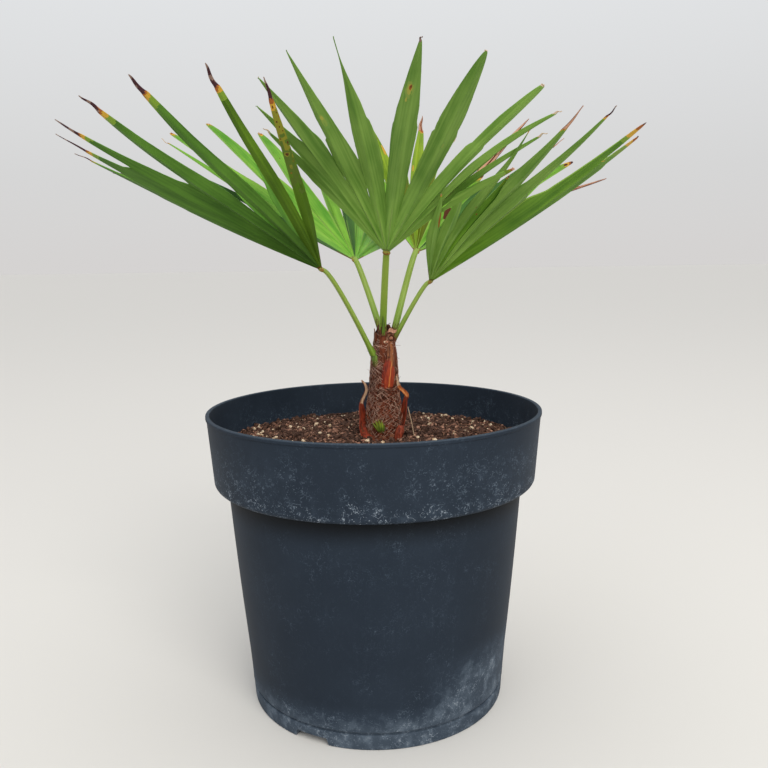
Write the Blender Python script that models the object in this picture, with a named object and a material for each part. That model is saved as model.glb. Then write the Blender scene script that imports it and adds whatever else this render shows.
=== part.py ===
# A young fan palm in a plastic nursery pot, with five fan leaves on a short fibrous trunk.
# Units are metres and degrees, +Z is up, and the pot stands on the plane z = 0.

import math

import bmesh
import bpy
from mathutils import Vector

# Clearance between neighbouring solids that rest on each other.
GAP = 0.0003

# Pot: a turned shell with a deep collar, seen from its outside.
POT_SIDES = 48
POT_HEIGHT = 0.229
RIM_RADIUS = 0.130
LIP_HEIGHT = 0.0035
LIP_PROUD = 0.0010
COLLAR_FOOT_RADIUS = 0.1254
COLLAR_FOOT_HEIGHT = 0.1735
COLLAR_FOOT_ROUND = 0.0040
BODY_TOP_RADIUS = 0.1151
BODY_FOOT_RADIUS = 0.1016
FOOT_RADIUS = 0.1005
FOOT_HEIGHT = 0.0120
FOOT_GROOVE = 0.0016
FOOT_RING_WIDTH = 0.0070
WALL = 0.0022
FLOOR_RISE = 0.0065
FLOOR_THICKNESS = 0.0026
PAD_RADIUS = 0.0240

# Drainage: round holes through the raised floor, and notches in the foot ring.
DRAIN_HOLES = 6
DRAIN_HOLE_RADIUS = 0.0060
DRAIN_CIRCLE_RADIUS = 0.0560
DRAIN_AZIMUTH = 33.75
NOTCHES = 3
NOTCH_AZIMUTH = -118.5
NOTCH_WIDTH = 0.0310
NOTCH_HEIGHT = 0.0058

# Compost: fills the pot and rises a little towards the trunk.
COMPOST_CENTRE_HEIGHT = 0.2075
COMPOST_EDGE_HEIGHT = 0.2010
COMPOST_FLAT_RADIUS = 0.0340

# Trunk: height above the compost, distance of its axis from the pot's, and radius.
TRUNK_SIDES = 20
TRUNK_FOOT = (0.0077, 0.0)
TRUNK_LEAN = 0.0012
TRUNK_HEIGHT = 0.0860
TRUNK_RADII = (
    (0.00, 0.0132),
    (0.07, 0.0148),
    (0.17, 0.0150),
    (0.28, 0.0130),
    (0.42, 0.0112),
    (0.58, 0.0102),
    (0.72, 0.0092),
    (0.84, 0.0081),
    (0.94, 0.0066),
    (1.00, 0.0040),
)

# Two dried sheaths that stand round the trunk's bulb.
SHEATH_THICKNESS = 0.0012
SHEATH_STEPS = 8
SHEATHS = {
    "dried_sheath_left": {
        "azimuth": 183.0,
        "half_width": 42.0,
        "height": 0.0440,
        "flare": 0.0040,
    },
    "dried_sheath_right": {
        "azimuth": -8.0,
        "half_width": 46.0,
        "height": 0.0410,
        "flare": 0.0038,
    },
}

# Petioles: tapering stalks that leave sockets in the trunk's head.
PETIOLE_SIDES = 8
PETIOLE_STEPS = 8
PETIOLE_START_LIFT = 0.35
PETIOLE_START_REACH = 0.26
PETIOLE_NECK = 0.0040
PETIOLE_NECK_REACH = 0.10
PETIOLE_ROOT_RADIUS = 0.0026
PETIOLE_TIP_RADIUS = 0.0021

# Blades: pleated fans. A fan's rays meet at its apex, at the head of its petiole.
BLADE_START = 0.0026
BLADE_THICKNESS = 0.0012
FINGER_WIDTH = 0.0155
FOLD_AT_BASE = 40.0
FOLD_AT_TIP = 22.0
UNITED_STATIONS = (0.50,)
FREE_STATIONS = (0.22, 0.46, 0.70, 0.88)

# Each leaf, from the oldest to the youngest, turns 144 degrees from the last one.
# root: distance from the trunk's axis, azimuth and height above the compost.
# apex: where the fan's rays meet. rise: the fan's slope. roll: its turn about its own axis.
# cups: how far its right and left sides curl up. bow: how far its fingers arch between their ends.
# fingers: angle from the fan's axis, from its right to its left, and length in mm.
LEAVES = {
    "left_front": {
        "root": (0.0060, 190.0, 0.0590),
        "apex": (-0.0362, -0.0260, 0.3365),
        "azimuth": -161.0,
        "rise": 27.4,
        "roll": 4.3,
        "cups": (1.0, 0.68),
        "bow": -0.04,
        "united": 0.42,
        "fingers": (
            (-43.0, 140),
            (-34.0, 155),
            (-25.0, 166),
            (-16.5, 172),
            (-8.5, 183),
            (-1.8, 199),
            (6.5, 200),
            (18.4, 199),
            (29.0, 192),
            (40.5, 178),
            (50.3, 159),
        ),
    },
    "right_front": {
        "root": (0.0055, -10.0, 0.0680),
        "apex": (0.0440, -0.0080, 0.3260),
        "azimuth": -16.0,
        "rise": 33.3,
        "roll": 4.1,
        "cups": (0.51, 0.6),
        "bow": -0.02,
        "united": 0.42,
        "fingers": (
            (-57.5, 86),
            (-50.0, 106),
            (-40.6, 164),
            (-33.8, 184),
            (-26.6, 189),
            (-10.3, 186),
            (1.5, 179),
            (11.0, 170),
            (20.0, 166),
            (30.0, 158),
            (40.0, 146),
        ),
    },
    "left_back": {
        "root": (0.0052, 126.0, 0.0720),
        "apex": (-0.0130, 0.0200, 0.3430),
        "azimuth": 127.0,
        "rise": 42.0,
        "roll": -2.0,
        "cups": (-0.3, 0.10),
        "bow": 0.02,
        "united": 0.42,
        "fingers": (
            (-55.0, 135),
            (-44.0, 150),
            (-33.0, 162),
            (-22.0, 172),
            (-10.0, 176),
            (4.0, 170),
            (19.5, 187),
            (32.0, 184),
            (38.0, 181),
            (48.0, 150),
        ),
    },
    "front": {
        "root": (0.0050, -90.0, 0.0720),
        "apex": (0.0113, -0.0400, 0.3480),
        "azimuth": -85.2,
        "rise": 38.6,
        "roll": -11.3,
        "cups": (0.36, 0.36),
        "bow": 0.01,
        "united": 0.42,
        "fingers": (
            (-53.6, 120),
            (-46.8, 134),
            (-36.8, 151),
            (-24.6, 166),
            (-13.1, 174),
            (2.4, 180),
            (13.7, 179),
            (28.9, 169),
            (37.4, 162),
            (43.0, 142),
            (48.0, 113),
        ),
    },
    "right_back": {
        "root": (0.0054, 54.0, 0.0730),
        "apex": (0.0350, 0.0230, 0.3490),
        "azimuth": 58.2,
        "rise": 39.6,
        "roll": 15.5,
        "cups": (0.05, 0.35),
        "bow": 0.02,
        "united": 0.42,
        "fingers": (
            (-43.4, 174),
            (-31.4, 168),
            (-22.1, 191),
            (-8.9, 206),
            (6.4, 156),
            (20.1, 185),
            (32.0, 182),
            (43.0, 170),
            (54.0, 150),
        ),
    },
}


def clear_scene():
    for item in list(bpy.data.objects):
        bpy.data.objects.remove(item, do_unlink=True)


def plain_material(name, colour, roughness):
    material = bpy.data.materials.new(name)
    material.use_nodes = True
    shader = material.node_tree.nodes["Principled BSDF"]
    shader.inputs["Base Color"].default_value = (*colour, 1.0)
    shader.inputs["Roughness"].default_value = roughness
    shader.inputs["Metallic"].default_value = 0.0
    return material


def object_from_bmesh(name, bm, material, smooth_angle=None):
    bmesh.ops.recalc_face_normals(bm, faces=bm.faces)
    mesh = bpy.data.meshes.new(name)
    bm.to_mesh(mesh)
    bm.free()
    if smooth_angle is not None:
        mesh.shade_smooth()
        mesh.set_sharp_from_angle(angle=math.radians(smooth_angle))
    mesh.materials.append(material)
    item = bpy.data.objects.new(name, mesh)
    bpy.context.scene.collection.objects.link(item)
    return item


def turned(name, profile, sides, material):
    """A closed profile of (radius, height) points turned about Z; points on the axis are merged."""
    bm = bmesh.new()
    rings = []
    for radius, height in profile:
        if radius <= 0.0:
            rings.append([bm.verts.new((0.0, 0.0, height))] * sides)
            continue
        ring = []
        for k in range(sides):
            angle = math.tau * k / sides
            ring.append(bm.verts.new((radius * math.cos(angle), radius * math.sin(angle), height)))
        rings.append(ring)
    for lower, upper in zip(rings, rings[1:]):
        for k in range(sides):
            corners = []
            for vert in (lower[k], lower[(k + 1) % sides], upper[(k + 1) % sides], upper[k]):
                if vert not in corners:
                    corners.append(vert)
            if len(corners) > 2:
                bm.faces.new(corners)
    return object_from_bmesh(name, bm, material, smooth_angle=35.0)


def tube(name, points, radii, sides, material, level=False):
    """A tube of round rings across a path, or level ones, closed by flat caps at both ends."""
    bm = bmesh.new()
    rings = []
    side = Vector((0.0, 1.0, 0.0))
    for k, (point, radius) in enumerate(zip(points, radii)):
        along = (points[min(k + 1, len(points) - 1)] - points[max(k - 1, 0)]).normalized()
        if level:
            along = Vector((0.0, 0.0, 1.0))
        side = (side - along * side.dot(along)).normalized()
        other = along.cross(side)
        ring = []
        for j in range(sides):
            angle = math.tau * j / sides
            ring.append(bm.verts.new(point + radius * (math.cos(angle) * side + math.sin(angle) * other)))
        rings.append(ring)
    for lower, upper in zip(rings, rings[1:]):
        for j in range(sides):
            bm.faces.new((lower[j], lower[(j + 1) % sides], upper[(j + 1) % sides], upper[j]))
    bm.faces.new(rings[0][::-1])
    bm.faces.new(rings[-1])
    return object_from_bmesh(name, bm, material, smooth_angle=40.0)


def cut(target, cutter):
    cutter.hide_render = True
    cutter.display_type = "WIRE"
    modifier = target.modifiers.new("cut " + cutter.name, "BOOLEAN")
    modifier.operation = "DIFFERENCE"
    modifier.solver = "EXACT"
    modifier.object = cutter


def polar(radius, azimuth, height=0.0):
    angle = math.radians(azimuth)
    return Vector((radius * math.cos(angle), radius * math.sin(angle), height))


# Pot

def collar_round(radius, height, bend, steps=3):
    """Points of the quarter round at the collar's lower edge, from its underside to its face."""
    points = []
    for k in range(steps + 1):
        angle = math.radians(-90.0 + 90.0 * k / steps)
        points.append((radius - bend + bend * math.cos(angle), height + bend + bend * math.sin(angle)))
    return points


def pot_profile():
    ring_inside = FOOT_RADIUS - FOOT_RING_WIDTH
    rim_wall = RIM_RADIUS - LIP_PROUD
    lip_foot = POT_HEIGHT - LIP_HEIGHT
    inner_floor = FLOOR_RISE + FLOOR_THICKNESS
    foot = [
        (0.0, 0.0),
        (PAD_RADIUS, 0.0),
        (PAD_RADIUS + 0.001, FLOOR_RISE),
        (ring_inside - 0.001, FLOOR_RISE),
        (ring_inside, 0.0),
        (FOOT_RADIUS - 0.0006, 0.0),
        (FOOT_RADIUS, 0.0008),
        (FOOT_RADIUS + 0.0006, FOOT_HEIGHT - 0.0006),
        (FOOT_RADIUS + 0.0006 - FOOT_GROOVE, FOOT_HEIGHT + 0.0002),
        (FOOT_RADIUS + 0.0006 - FOOT_GROOVE, FOOT_HEIGHT + 0.0010),
        (BODY_FOOT_RADIUS, FOOT_HEIGHT + 0.0024),
        (BODY_FOOT_RADIUS + 0.0006, 0.0220),
    ]
    outside = [(BODY_TOP_RADIUS, COLLAR_FOOT_HEIGHT)]
    outside += collar_round(COLLAR_FOOT_RADIUS, COLLAR_FOOT_HEIGHT, COLLAR_FOOT_ROUND)
    outside += [
        (rim_wall, lip_foot),
        (RIM_RADIUS, lip_foot + 0.0006),
        (RIM_RADIUS, POT_HEIGHT - 0.0008),
        (RIM_RADIUS - 0.0008, POT_HEIGHT),
    ]
    inside = [
        (rim_wall - WALL + 0.0006, POT_HEIGHT),
        (rim_wall - WALL, POT_HEIGHT - 0.0006),
    ]
    inside += inner_wall(WALL, 0.0)
    inside += [(0.0, inner_floor)]
    return foot + outside + inside


def inner_wall(offset, lift):
    """The pot's inner wall from the collar's foot to the floor, moved inwards and up."""
    step_top = COLLAR_FOOT_HEIGHT + COLLAR_FOOT_ROUND
    return [
        (COLLAR_FOOT_RADIUS - offset, step_top + lift),
        (BODY_TOP_RADIUS - offset, COLLAR_FOOT_HEIGHT + WALL + lift),
        (BODY_FOOT_RADIUS + 0.0006 - offset, 0.0220),
        (BODY_FOOT_RADIUS - offset - 0.0010, FLOOR_RISE + FLOOR_THICKNESS + lift),
    ]


def make_pot():
    plastic = plain_material("pot plastic", (0.030, 0.036, 0.045), 0.55)
    pot = turned("pot", pot_profile(), POT_SIDES, plastic)
    for k in range(DRAIN_HOLES):
        centre = polar(DRAIN_CIRCLE_RADIUS, DRAIN_AZIMUTH + 360.0 * k / DRAIN_HOLES)
        ends = [centre + Vector((0.0, 0.0, -0.01)), centre + Vector((0.0, 0.0, 0.02))]
        cut(pot, tube(f"drain_cutter_{k + 1}", ends, [DRAIN_HOLE_RADIUS] * 2, 12, plastic))
    for k in range(NOTCHES):
        azimuth = NOTCH_AZIMUTH + 360.0 * k / NOTCHES
        cut(pot, notch_cutter(f"notch_cutter_{k + 1}", azimuth, plastic))
    return pot


def notch_cutter(name, azimuth, material):
    """A block that takes a slot with sloping ends out of the foot ring, clear of the raised floor."""
    near = FOOT_RADIUS - FOOT_RING_WIDTH - 0.004
    far = FOOT_RADIUS + 0.006
    out = polar(1.0, azimuth)
    across = polar(1.0, azimuth + 90.0)
    outline = (
        (-NOTCH_WIDTH / 2, -0.004),
        (NOTCH_WIDTH / 2, -0.004),
        (NOTCH_WIDTH / 2 - 0.003, NOTCH_HEIGHT),
        (-NOTCH_WIDTH / 2 + 0.003, NOTCH_HEIGHT),
    )
    bm = bmesh.new()
    near_ring = [bm.verts.new(out * near + across * s + Vector((0.0, 0.0, h))) for s, h in outline]
    far_ring = [bm.verts.new(out * far + across * s + Vector((0.0, 0.0, h))) for s, h in outline]
    for j in range(4):
        bm.faces.new((near_ring[j], near_ring[(j + 1) % 4], far_ring[(j + 1) % 4], far_ring[j]))
    bm.faces.new(near_ring[::-1])
    bm.faces.new(far_ring)
    return object_from_bmesh(name, bm, material)


# Compost

def make_compost():
    earth = plain_material("compost", (0.045, 0.028, 0.018), 0.95)
    wall = inner_wall(WALL + GAP, GAP)[::-1]
    edge_share = (COMPOST_EDGE_HEIGHT - COLLAR_FOOT_HEIGHT) / (POT_HEIGHT - COLLAR_FOOT_HEIGHT)
    edge_radius = COLLAR_FOOT_RADIUS + edge_share * (RIM_RADIUS - LIP_PROUD - COLLAR_FOOT_RADIUS)
    edge_radius -= WALL + 2 * GAP
    fall = COMPOST_CENTRE_HEIGHT - COMPOST_EDGE_HEIGHT
    profile = [(0.0, wall[0][1])] + wall
    profile += [(edge_radius, COMPOST_EDGE_HEIGHT)]
    profile += [(edge_radius * 0.82, COMPOST_EDGE_HEIGHT + fall * 0.30)]
    profile += [(edge_radius * 0.55, COMPOST_EDGE_HEIGHT + fall * 0.72)]
    profile += [(COMPOST_FLAT_RADIUS, COMPOST_CENTRE_HEIGHT), (0.0, COMPOST_CENTRE_HEIGHT)]
    return turned("compost", profile, POT_SIDES, earth)


# Trunk and its sheaths

def trunk_point(share):
    """The trunk's axis at a share of its height above the compost."""
    foot = COMPOST_CENTRE_HEIGHT + GAP
    return Vector((TRUNK_FOOT[0] + TRUNK_LEAN * share, TRUNK_FOOT[1], foot + TRUNK_HEIGHT * share))


def trunk_radius(share):
    for (low, low_radius), (high, high_radius) in zip(TRUNK_RADII, TRUNK_RADII[1:]):
        if share <= high:
            return low_radius + (high_radius - low_radius) * (share - low) / (high - low)
    return TRUNK_RADII[-1][1]


def make_trunk():
    fibre = plain_material("trunk fibre", (0.16, 0.10, 0.06), 0.9)
    points = [trunk_point(share) for share, _ in TRUNK_RADII]
    radii = [radius for _, radius in TRUNK_RADII]
    return tube("trunk", points, radii, TRUNK_SIDES, fibre, level=True)


def make_sheath(name, spec):
    """A curved shell that stands on the compost round one side of the trunk's bulb."""
    husk = plain_material(name.replace("_", " "), (0.36, 0.12, 0.04), 0.8)
    arc_steps = 6
    inner = []
    outer = []
    bm = bmesh.new()
    for k in range(SHEATH_STEPS + 1):
        rise = k / SHEATH_STEPS
        share = spec["height"] * rise / TRUNK_HEIGHT
        centre = trunk_point(share)
        near = trunk_radius(share) + GAP + spec["flare"] * math.sin(math.pi * rise ** 0.8) * (1.0 - 0.3 * rise)
        spread = spec["half_width"] * (1.0 - 0.62 * rise ** 1.5)
        thickness = SHEATH_THICKNESS * (1.0 - 0.4 * rise)
        for ring, radius in ((inner, near), (outer, near + thickness)):
            row = []
            for j in range(arc_steps + 1):
                azimuth = spec["azimuth"] + spread * (2.0 * j / arc_steps - 1.0)
                row.append(bm.verts.new(centre + polar(radius, azimuth)))
            ring.append(row)
    for k in range(SHEATH_STEPS):
        for j in range(arc_steps):
            bm.faces.new((outer[k][j], outer[k][j + 1], outer[k + 1][j + 1], outer[k + 1][j]))
            bm.faces.new((inner[k][j], inner[k + 1][j], inner[k + 1][j + 1], inner[k][j + 1]))
        for j in (0, arc_steps):
            bm.faces.new((inner[k][j], outer[k][j], outer[k + 1][j], inner[k + 1][j]))
    for k in (0, SHEATH_STEPS):
        for j in range(arc_steps):
            bm.faces.new((inner[k][j], inner[k][j + 1], outer[k][j + 1], outer[k][j]))
    return object_from_bmesh(name, bm, husk, smooth_angle=40.0)


# Leaves

def fan_axes(leaf):
    """The fan's own axes: along its middle, across it, and out of its upper face."""
    azimuth = math.radians(leaf["azimuth"])
    rise = math.radians(leaf["rise"])
    roll = math.radians(leaf["roll"])
    along = Vector((math.cos(azimuth) * math.cos(rise), math.sin(azimuth) * math.cos(rise), math.sin(rise)))
    level = Vector((-math.sin(azimuth), math.cos(azimuth), 0.0))
    upright = along.cross(level)
    across = level * math.cos(roll) + upright * math.sin(roll)
    upper = upright * math.cos(roll) - level * math.sin(roll)
    return along, across, upper


def ray(axes, angle, cups):
    """The direction of a ray of the fan, whose sides curl up by the cups."""
    along, across, upper = axes
    curl = (cups[0] if angle < 0.0 else cups[1]) * abs(angle)
    side = math.sin(angle)
    direction = along * math.cos(angle) + across * side * math.cos(curl)
    return (direction + upper * abs(side) * math.sin(curl)).normalized()


def ray_normal(axes, angle, cups):
    """The upper side's normal at a ray."""
    step = 0.002
    forward = ray(axes, angle + step, cups) - ray(axes, angle - step, cups)
    return ray(axes, angle, cups).cross(forward).normalized()


def petiole_points(leaf):
    """A gentle curve from the trunk's head to a short neck that meets the blade squarely."""
    distance, azimuth, height = leaf["root"]
    root = trunk_point(height / TRUNK_HEIGHT) + polar(distance, azimuth)
    along = fan_axes(leaf)[0]
    head = Vector(leaf["apex"]) + along * (BLADE_START - GAP)
    neck = head - along * PETIOLE_NECK
    reach = (neck - root).length
    start = ((neck - root).normalized() + Vector((0.0, 0.0, PETIOLE_START_LIFT))).normalized()
    first = root + start * reach * PETIOLE_START_REACH
    second = neck - along * reach * PETIOLE_NECK_REACH
    points = []
    for k in range(PETIOLE_STEPS + 1):
        t = k / PETIOLE_STEPS
        s = 1.0 - t
        points.append(root * s ** 3 + first * 3 * s * s * t + second * 3 * s * t * t + neck * t ** 3)
    return points + [head]


def make_petiole(name, leaf, trunk):
    green = plain_material("petiole " + name.replace("_", " "), (0.20, 0.33, 0.06), 0.5)
    points = petiole_points(leaf)
    radii = []
    for k in range(len(points)):
        radii.append(PETIOLE_ROOT_RADIUS + (PETIOLE_TIP_RADIUS - PETIOLE_ROOT_RADIUS) * k / (len(points) - 1))
    petiole = tube("petiole_" + name, points, radii, PETIOLE_SIDES, green)
    back = (points[0] - points[1]).normalized()
    wide_points = [points[0] + back * GAP] + points[1:]
    wide_radii = [radius + GAP for radius in radii]
    cut(trunk, tube("socket_cutter_" + name, wide_points, wide_radii, PETIOLE_SIDES, green))
    return petiole


def make_blade(name, leaf):
    """A pleated fan: fingers folded along their midribs, united near the apex and free beyond."""
    green = plain_material("blade " + name.replace("_", " "), (0.10, 0.24, 0.04), 0.45)
    axes = fan_axes(leaf)
    apex = Vector(leaf["apex"])
    cups = leaf["cups"]
    fingers = [(math.radians(angle), length / 1000.0) for angle, length in leaf["fingers"]]
    angles = [angle for angle, _ in fingers]
    lengths = [length for _, length in fingers]
    count = len(fingers)
    borders = [angles[0] - (angles[1] - angles[0]) / 2]
    borders += [(a + b) / 2 for a, b in zip(angles, angles[1:])]
    borders += [angles[-1] + (angles[-1] - angles[-2]) / 2]
    splits = []
    for j in range(count + 1):
        near = lengths[max(j - 1, 0)] + lengths[min(j, count - 1)]
        splits.append(leaf["united"] * near / 2)

    def place(angle, radius, lift, length):
        share = radius / length
        arch = leaf["bow"] * length * (share - share ** 3)
        return apex + ray(axes, angle, cups) * radius + ray_normal(axes, angle, cups) * (lift + arch)

    def fold_depth(half_width, radius, length):
        fold = FOLD_AT_BASE + (FOLD_AT_TIP - FOLD_AT_BASE) * radius / length
        return half_width * math.tan(math.radians(fold)) / 2

    bm = bmesh.new()

    def border_verts(j):
        """The shared border between two fingers, from the apex to their split."""
        length = (lengths[max(j - 1, 0)] + lengths[min(j, count - 1)]) / 2
        gap = (angles[min(j, count - 1)] - angles[max(j - 1, 0)]) / 2
        if j in (0, count):
            gap = abs(borders[j] - angles[0 if j == 0 else count - 1])
        verts = [bm.verts.new(apex + ray(axes, borders[j], cups) * (BLADE_START / math.cos(borders[j])))]
        for share in UNITED_STATIONS + (1.0,):
            radius = splits[j] * share
            lift = fold_depth(radius * math.tan(gap), radius, length)
            verts.append(bm.verts.new(place(borders[j], radius, lift, length)))
        return verts

    shared = [border_verts(j) for j in range(count + 1)]
    for j in range(count):
        angle, length = fingers[j]
        split = (splits[j] + splits[j + 1]) / 2
        middle = [bm.verts.new(apex + ray(axes, angle, cups) * (BLADE_START / math.cos(angle)))]
        for share in UNITED_STATIONS + (1.0,):
            radius = split * share
            half = radius * math.tan((borders[j + 1] - borders[j]) / 2)
            middle.append(bm.verts.new(place(angle, radius, -fold_depth(half, radius, length), length)))
        edges = [list(shared[j]), list(shared[j + 1])]
        half_at_split = [split * math.tan(abs(angle - borders[j])), split * math.tan(abs(borders[j + 1] - angle))]
        for share in FREE_STATIONS:
            radius = split + (length - split) * share
            taper = 1.0 if radius < 0.58 * length else ((length - radius) / (0.42 * length)) ** 0.8
            widest = 0.0
            for side in (0, 1):
                half = min(half_at_split[side] * (1.0 + 0.4 * (radius / split - 1.0)), FINGER_WIDTH / 2) * taper
                widest = max(widest, half)
                turn = math.atan2(half, radius) * (-1 if side == 0 else 1)
                lift = fold_depth(half, radius, length)
                edges[side].append(bm.verts.new(place(angle + turn, radius, lift, length)))
            middle.append(bm.verts.new(place(angle, radius, -fold_depth(widest, radius, length), length)))
        tip = bm.verts.new(place(angle, length, 0.0, length))
        for edge, flip in ((edges[0], False), (edges[1], True)):
            for k in range(len(middle) - 1):
                corners = [edge[k], middle[k], middle[k + 1], edge[k + 1]]
                bm.faces.new(corners[::-1] if flip else corners)
            corners = [edge[-1], middle[-1], tip]
            bm.faces.new(corners[::-1] if flip else corners)
    blade = object_from_bmesh("blade_" + name, bm, green, smooth_angle=30.0)
    solid = blade.modifiers.new("thickness", "SOLIDIFY")
    solid.thickness = BLADE_THICKNESS
    solid.offset = 0.0
    return blade


def main():
    clear_scene()
    make_pot()
    make_compost()
    trunk = make_trunk()
    for name, spec in SHEATHS.items():
        make_sheath(name, spec)
    for name, leaf in LEAVES.items():
        make_petiole(name, leaf, trunk)
        make_blade(name, leaf)


main()
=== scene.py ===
import math
import random
from collections import namedtuple

import bmesh
import bpy
import numpy as np
from mathutils import Matrix, Vector, noise


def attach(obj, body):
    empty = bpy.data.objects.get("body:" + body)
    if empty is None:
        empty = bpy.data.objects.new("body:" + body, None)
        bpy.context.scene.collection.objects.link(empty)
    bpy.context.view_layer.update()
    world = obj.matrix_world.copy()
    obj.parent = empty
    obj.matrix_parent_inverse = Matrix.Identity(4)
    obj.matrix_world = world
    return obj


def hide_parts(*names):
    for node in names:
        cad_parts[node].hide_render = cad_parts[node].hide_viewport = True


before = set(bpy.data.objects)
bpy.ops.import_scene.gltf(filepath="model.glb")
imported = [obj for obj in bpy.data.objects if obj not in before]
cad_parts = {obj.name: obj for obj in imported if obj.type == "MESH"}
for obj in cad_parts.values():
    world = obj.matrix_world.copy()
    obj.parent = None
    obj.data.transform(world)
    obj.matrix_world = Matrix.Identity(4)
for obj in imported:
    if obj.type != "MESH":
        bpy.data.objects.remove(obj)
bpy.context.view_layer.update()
millimetre = 0.001
up = Vector((0.0, 0.0, 1.0))


def hexColour(code):
    # sRGB hex to the linear values that shaders and lights take
    parts = [int(code[k:k + 2], 16) / 255.0 for k in (0, 2, 4)]
    linear = [part / 12.92 if part <= 0.04045 else ((part + 0.055) / 1.055) ** 2.4 for part in parts]
    return (*linear, 1.0)


def addNode(tree, kind, inputs=None, **settings):
    node = tree.nodes.new(kind)
    for name, value in settings.items():
        setattr(node, name, value)
    for name, value in (inputs or {}).items():
        if isinstance(value, bpy.types.NodeSocket):
            tree.links.new(value, node.inputs[name])
        else:
            node.inputs[name].default_value = value
    return node


def startMaterial(name, colour, roughness, ior=1.5):
    material = bpy.data.materials.new(name)
    material.use_nodes = True
    shader = material.node_tree.nodes["Principled BSDF"]
    shader.inputs["Base Color"].default_value = hexColour(colour)
    shader.inputs["Roughness"].default_value = roughness
    shader.inputs["IOR"].default_value = ior
    # dry, fibrous stuff shines less than the clean surface of its index
    shader.inputs["Specular IOR Level"].default_value = 0.5 if roughness < 0.45 else 0.3 if roughness < 0.65 else 0.14
    return material, material.node_tree, shader


def plainMaterial(name, colour, roughness):
    return startMaterial(name, colour, roughness)[0]


def colourRamp(tree, factor, stops):
    ramp = addNode(tree, "ShaderNodeValToRGB", {"Fac": factor})
    while len(ramp.color_ramp.elements) < len(stops):
        ramp.color_ramp.elements.new(0.5)
    for element, (place, code) in zip(ramp.color_ramp.elements, stops):
        element.position = place
        element.color = hexColour(code)
    return ramp.outputs["Color"]


def polar(radius, azimuth, height=0.0):
    angle = math.radians(azimuth)
    return Vector((radius * math.cos(angle), radius * math.sin(angle), height))


def smoothStep(low, high, value):
    share = min(max((value - low) / (high - low), 0.0), 1.0)
    return share * share * (3.0 - 2.0 * share)


def keyed(keys, t):
    # a smooth run through rows of numbers, at t from 0 to 1 (a Catmull-Rom spline)
    place = min(max(t, 0.0), 1.0) * (len(keys) - 1)
    k = min(int(place), len(keys) - 2)
    f = place - k
    rows = [keys[max(k - 1, 0)], keys[k], keys[k + 1], keys[min(k + 2, len(keys) - 1)]]
    blend = []
    for a, b, c, d in zip(*rows):
        blend.append(0.5 * (2 * b + (c - a) * f + (2 * a - 5 * b + 4 * c - d) * f * f
                            + (3 * b - a - 3 * c + d) * f ** 3))
    return blend


def shadeMesh(mesh, smoothAngle):
    mesh.shade_smooth()
    mesh.set_sharp_from_angle(angle=math.radians(smoothAngle))


def addPiece(name, mesh, materials, replaced=()):
    mesh.name = name
    for material in materials:
        mesh.materials.append(material)
    piece = bpy.data.objects.new(name, mesh)
    bpy.context.scene.collection.objects.link(piece)
    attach(piece, "root")
    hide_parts(*replaced)
    return piece


def pieceFromBmesh(name, bm, materials, replaced=(), smoothAngle=35.0, merge=0.00002):
    bmesh.ops.remove_doubles(bm, verts=bm.verts, dist=merge)
    bmesh.ops.recalc_face_normals(bm, faces=bm.faces)
    mesh = bpy.data.meshes.new(name)
    bm.to_mesh(mesh)
    bm.free()
    shadeMesh(mesh, smoothAngle)
    return addPiece(name, mesh, materials, replaced)


def spunProfile(profile, steps):
    # a profile of (radius, height) points turned about the pot's axis
    bm = bmesh.new()
    verts = [bm.verts.new((radius, 0.0, height)) for radius, height in profile]
    edges = [bm.edges.new(pair) for pair in zip(verts, verts[1:])]
    bmesh.ops.spin(bm, geom=verts + edges, angle=math.tau, steps=steps, axis=up,
                   cent=(0.0, 0.0, 0.0), use_merge=True)
    bmesh.ops.remove_doubles(bm, verts=bm.verts, dist=0.00001)
    return bm


def strandPiece(name, strands, materials):
    # thin fibres: each strand is (points, radii, number of its material)
    curve = bpy.data.curves.new(name, "CURVE")
    curve.dimensions = "3D"
    curve.bevel_depth = 1.0
    curve.bevel_resolution = 0
    curve.use_fill_caps = True
    # the materials come first, because a spline takes no number beyond them
    for material in materials:
        curve.materials.append(material)
    for points, radii, look in strands:
        spline = curve.splines.new("POLY")
        spline.points.add(len(points) - 1)
        spline.material_index = look
        for knot, point, radius in zip(spline.points, points, radii):
            knot.co = (*point, 1.0)
            knot.radius = radius
    carrier = bpy.data.objects.new(name + "Route", curve)
    bpy.context.scene.collection.objects.link(carrier)
    depsgraph = bpy.context.evaluated_depsgraph_get()
    mesh = bpy.data.meshes.new_from_object(carrier.evaluated_get(depsgraph))
    bpy.data.objects.remove(carrier)
    bpy.data.curves.remove(curve)
    shadeMesh(mesh, 60.0)
    return addPiece(name, mesh, ())


def gridSheet(bm, place, columns, rows, lookOf=None):
    # a sheet whose points are place(u, t), with u from -1 to 1 across and t from 0 to 1 along it
    part = bmesh.new()
    bmesh.ops.create_grid(part, x_segments=columns, y_segments=rows, size=0.5)
    shares = {vert: (2.0 * vert.co.x, vert.co.y + 0.5) for vert in part.verts}
    for face in part.faces:
        u = sum(shares[vert][0] for vert in face.verts) / 4
        t = sum(shares[vert][1] for vert in face.verts) / 4
        face.material_index = lookOf(u, t) if lookOf else 0
    for vert, (u, t) in shares.items():
        vert.co = place(u, t)
    mesh = bpy.data.meshes.new("sheetPart")
    part.to_mesh(mesh)
    part.free()
    bm.from_mesh(mesh)
    bpy.data.meshes.remove(mesh)


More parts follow.
